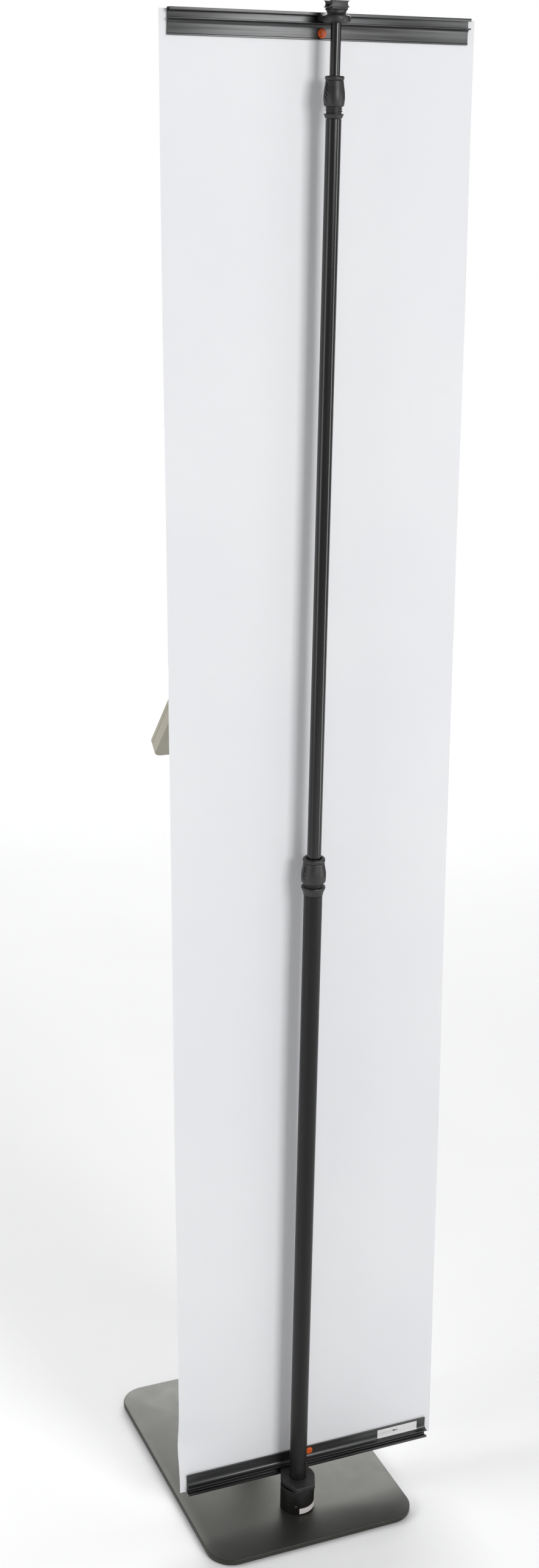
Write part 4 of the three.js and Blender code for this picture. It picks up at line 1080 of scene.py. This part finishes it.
def cam_lock():
    latch_low = FLOOR_TOP + 3.2 * MM
    latch_top = latch_low + 2.2 * MM
    stud = 2.2 * MM
    flange = CAM_RADIUS + 1.8 * MM
    barrel = turned([
        (flange - 0.8 * MM, CASE_BACK - 1.4 * MM), (flange, CASE_BACK - 0.9 * MM), (flange, CASE_BACK - GAP),
        (CAM_RADIUS, CASE_BACK - GAP), (CAM_RADIUS, latch_low - GAP), (stud, latch_low - GAP),
        (stud, latch_top + 0.1 * MM), (stud - 0.3 * MM, latch_top + 0.4 * MM)], 56)
    face = CASE_BACK - 1.4 * MM
    cut(barrel, turned([(4.6 * MM, face - MM), (4.6 * MM, face + 0.3 * MM)], 40),
        plate(-0.6 * MM, 0.6 * MM, -3 * MM, 3 * MM, face - MM, face + 2.4 * MM))
    on_cam = on_case @ shift(CAM_X, CAM_Y)
    mount(moved(barrel, on_cam), "cam_key_barrel", "cam", zinc, "cam_barrel")
    reach_y = CAM_Y + HALF_Y - CASE_WALL - 2.8 * MM - 0.8 * MM
    arm = plate(-3.4 * MM, 3.4 * MM, -reach_y, 3.6 * MM, latch_low, latch_top, 1.6 * MM, 4)
    soften(arm, 0.35 * MM, 2, 50)
    cut(arm, rod(stud + GAP, latch_low - MM, latch_top + MM, 32))
    mount(moved(arm, on_cam), "cam_arm", "cam", zinc, "cam_latch")


enclosure()
foam_pads()
tilt_block()
cam_lock()


# The pieces that keep their own meshes

for look, nodes in (
    (zinc, ("socket_bolt",)),
    (tape, ("top_rail_tape", "bottom_rail_tape")),
    (plastic, ("middle_tube_plug", "top_tube_plug", "lower_lock_jaws", "upper_lock_jaws")),
):
    for node in nodes:
        kept = frame["nodes"][node]
        for slot in kept.material_slots:
            slot.link = "OBJECT"
            slot.material = look.material


# Floor, light and camera

def floor():
    ground = begin(bpy.ops.mesh.primitive_plane_add, size=9)
    finish_edit()
    ground.name = "floor"
    look = Finish("floor", 0.8, name="floor_paper")
    look.dress(look.mix(grey(0.88), grey(0.92), look.noise(3, 2)))
    ground.data.materials.append(look.material)


def softbox(name, plan, distance, height, wide, tall, power, aim_height):
    """A soft lamp at a plan angle round the pole, in degrees from +X, turned to the pole."""
    lamp = bpy.data.lights.new(name, "AREA")
    lamp.shape, lamp.size, lamp.size_y, lamp.energy = "RECTANGLE", wide, tall, power
    holder = bpy.data.objects.new(name, lamp)
    bpy.context.collection.objects.link(holder)
    holder.visible_camera = False
    angle = math.radians(plan)
    away = Vector((distance * math.cos(angle), distance * math.sin(angle), height))
    holder.location = POLE.xy.to_3d() + away
    aim = Vector((POLE.x, POLE.y, aim_height)) - holder.location
    holder.rotation_euler = aim.to_track_quat("-Z", "Y").to_euler()
    return holder


def studio():
    world = bpy.data.worlds.new("studio")
    bpy.context.scene.world = world
    world.use_nodes = True
    nodes, links = world.node_tree.nodes, world.node_tree.links
    nodes.clear()
    output = nodes.new("ShaderNodeOutputWorld")
    seen, lit = nodes.new("ShaderNodeBackground"), nodes.new("ShaderNodeBackground")
    choose, ray = nodes.new("ShaderNodeMixShader"), nodes.new("ShaderNodeLightPath")
    seen.inputs["Color"].default_value = (1, 1, 1, 1)
    lit.inputs["Color"].default_value = (0.98, 0.985, 1, 1)
    lit.inputs["Strength"].default_value = 0.3
    links.new(ray.outputs["Is Camera Ray"], choose.inputs[0])
    links.new(lit.outputs[0], choose.inputs[1])
    links.new(seen.outputs[0], choose.inputs[2])
    links.new(choose.outputs[0], output.inputs["Surface"])
    softbox("key", plan=104, distance=4.5, height=2.75, wide=1.7, tall=1.4, power=117, aim_height=0.7)
    softbox("fill", plan=15, distance=3.2, height=1.2, wide=1.2, tall=1.8, power=17, aim_height=1.0)
    edge = softbox("edge", plan=-8, distance=2.4, height=1.5, wide=0.9, tall=1.3, power=26, aim_height=1.2)
    edge.visible_glossy = False
    softbox("backdrop", plan=247, distance=10, height=4.9, wide=9.0, tall=4.4, power=1000, aim_height=0.2)
    side = softbox("side", plan=146, distance=1.9, height=1.3, wide=0.34, tall=1.9, power=15, aim_height=1.3)
    side.visible_diffuse = False


def camera():
    eye = bpy.data.cameras.new("eye")
    eye.lens, eye.sensor_width = 46.0, 36
    holder = bpy.data.objects.new("eye", eye)
    bpy.context.collection.objects.link(holder)
    bpy.context.scene.camera = holder
    turn, pitch, roll = math.radians(22.96), math.radians(18.22), math.radians(1.08)
    ahead = Vector((-math.sin(turn) * math.cos(pitch), -math.cos(turn) * math.cos(pitch), -math.sin(pitch)))
    right = ahead.cross(Vector((0, 0, 1))).normalized()
    up = right.cross(ahead)
    right, up = right * math.cos(roll) + up * math.sin(roll), up * math.cos(roll) - right * math.sin(roll)
    place = Matrix((right, up, -ahead)).transposed().to_4x4()
    place.translation = POLE.xy.to_3d() + Vector((1.0262, 2.2665, 1.9520))
    holder.matrix_world = place


floor()
studio()
camera()
bpy.context.scene.view_settings.view_transform = "Standard"
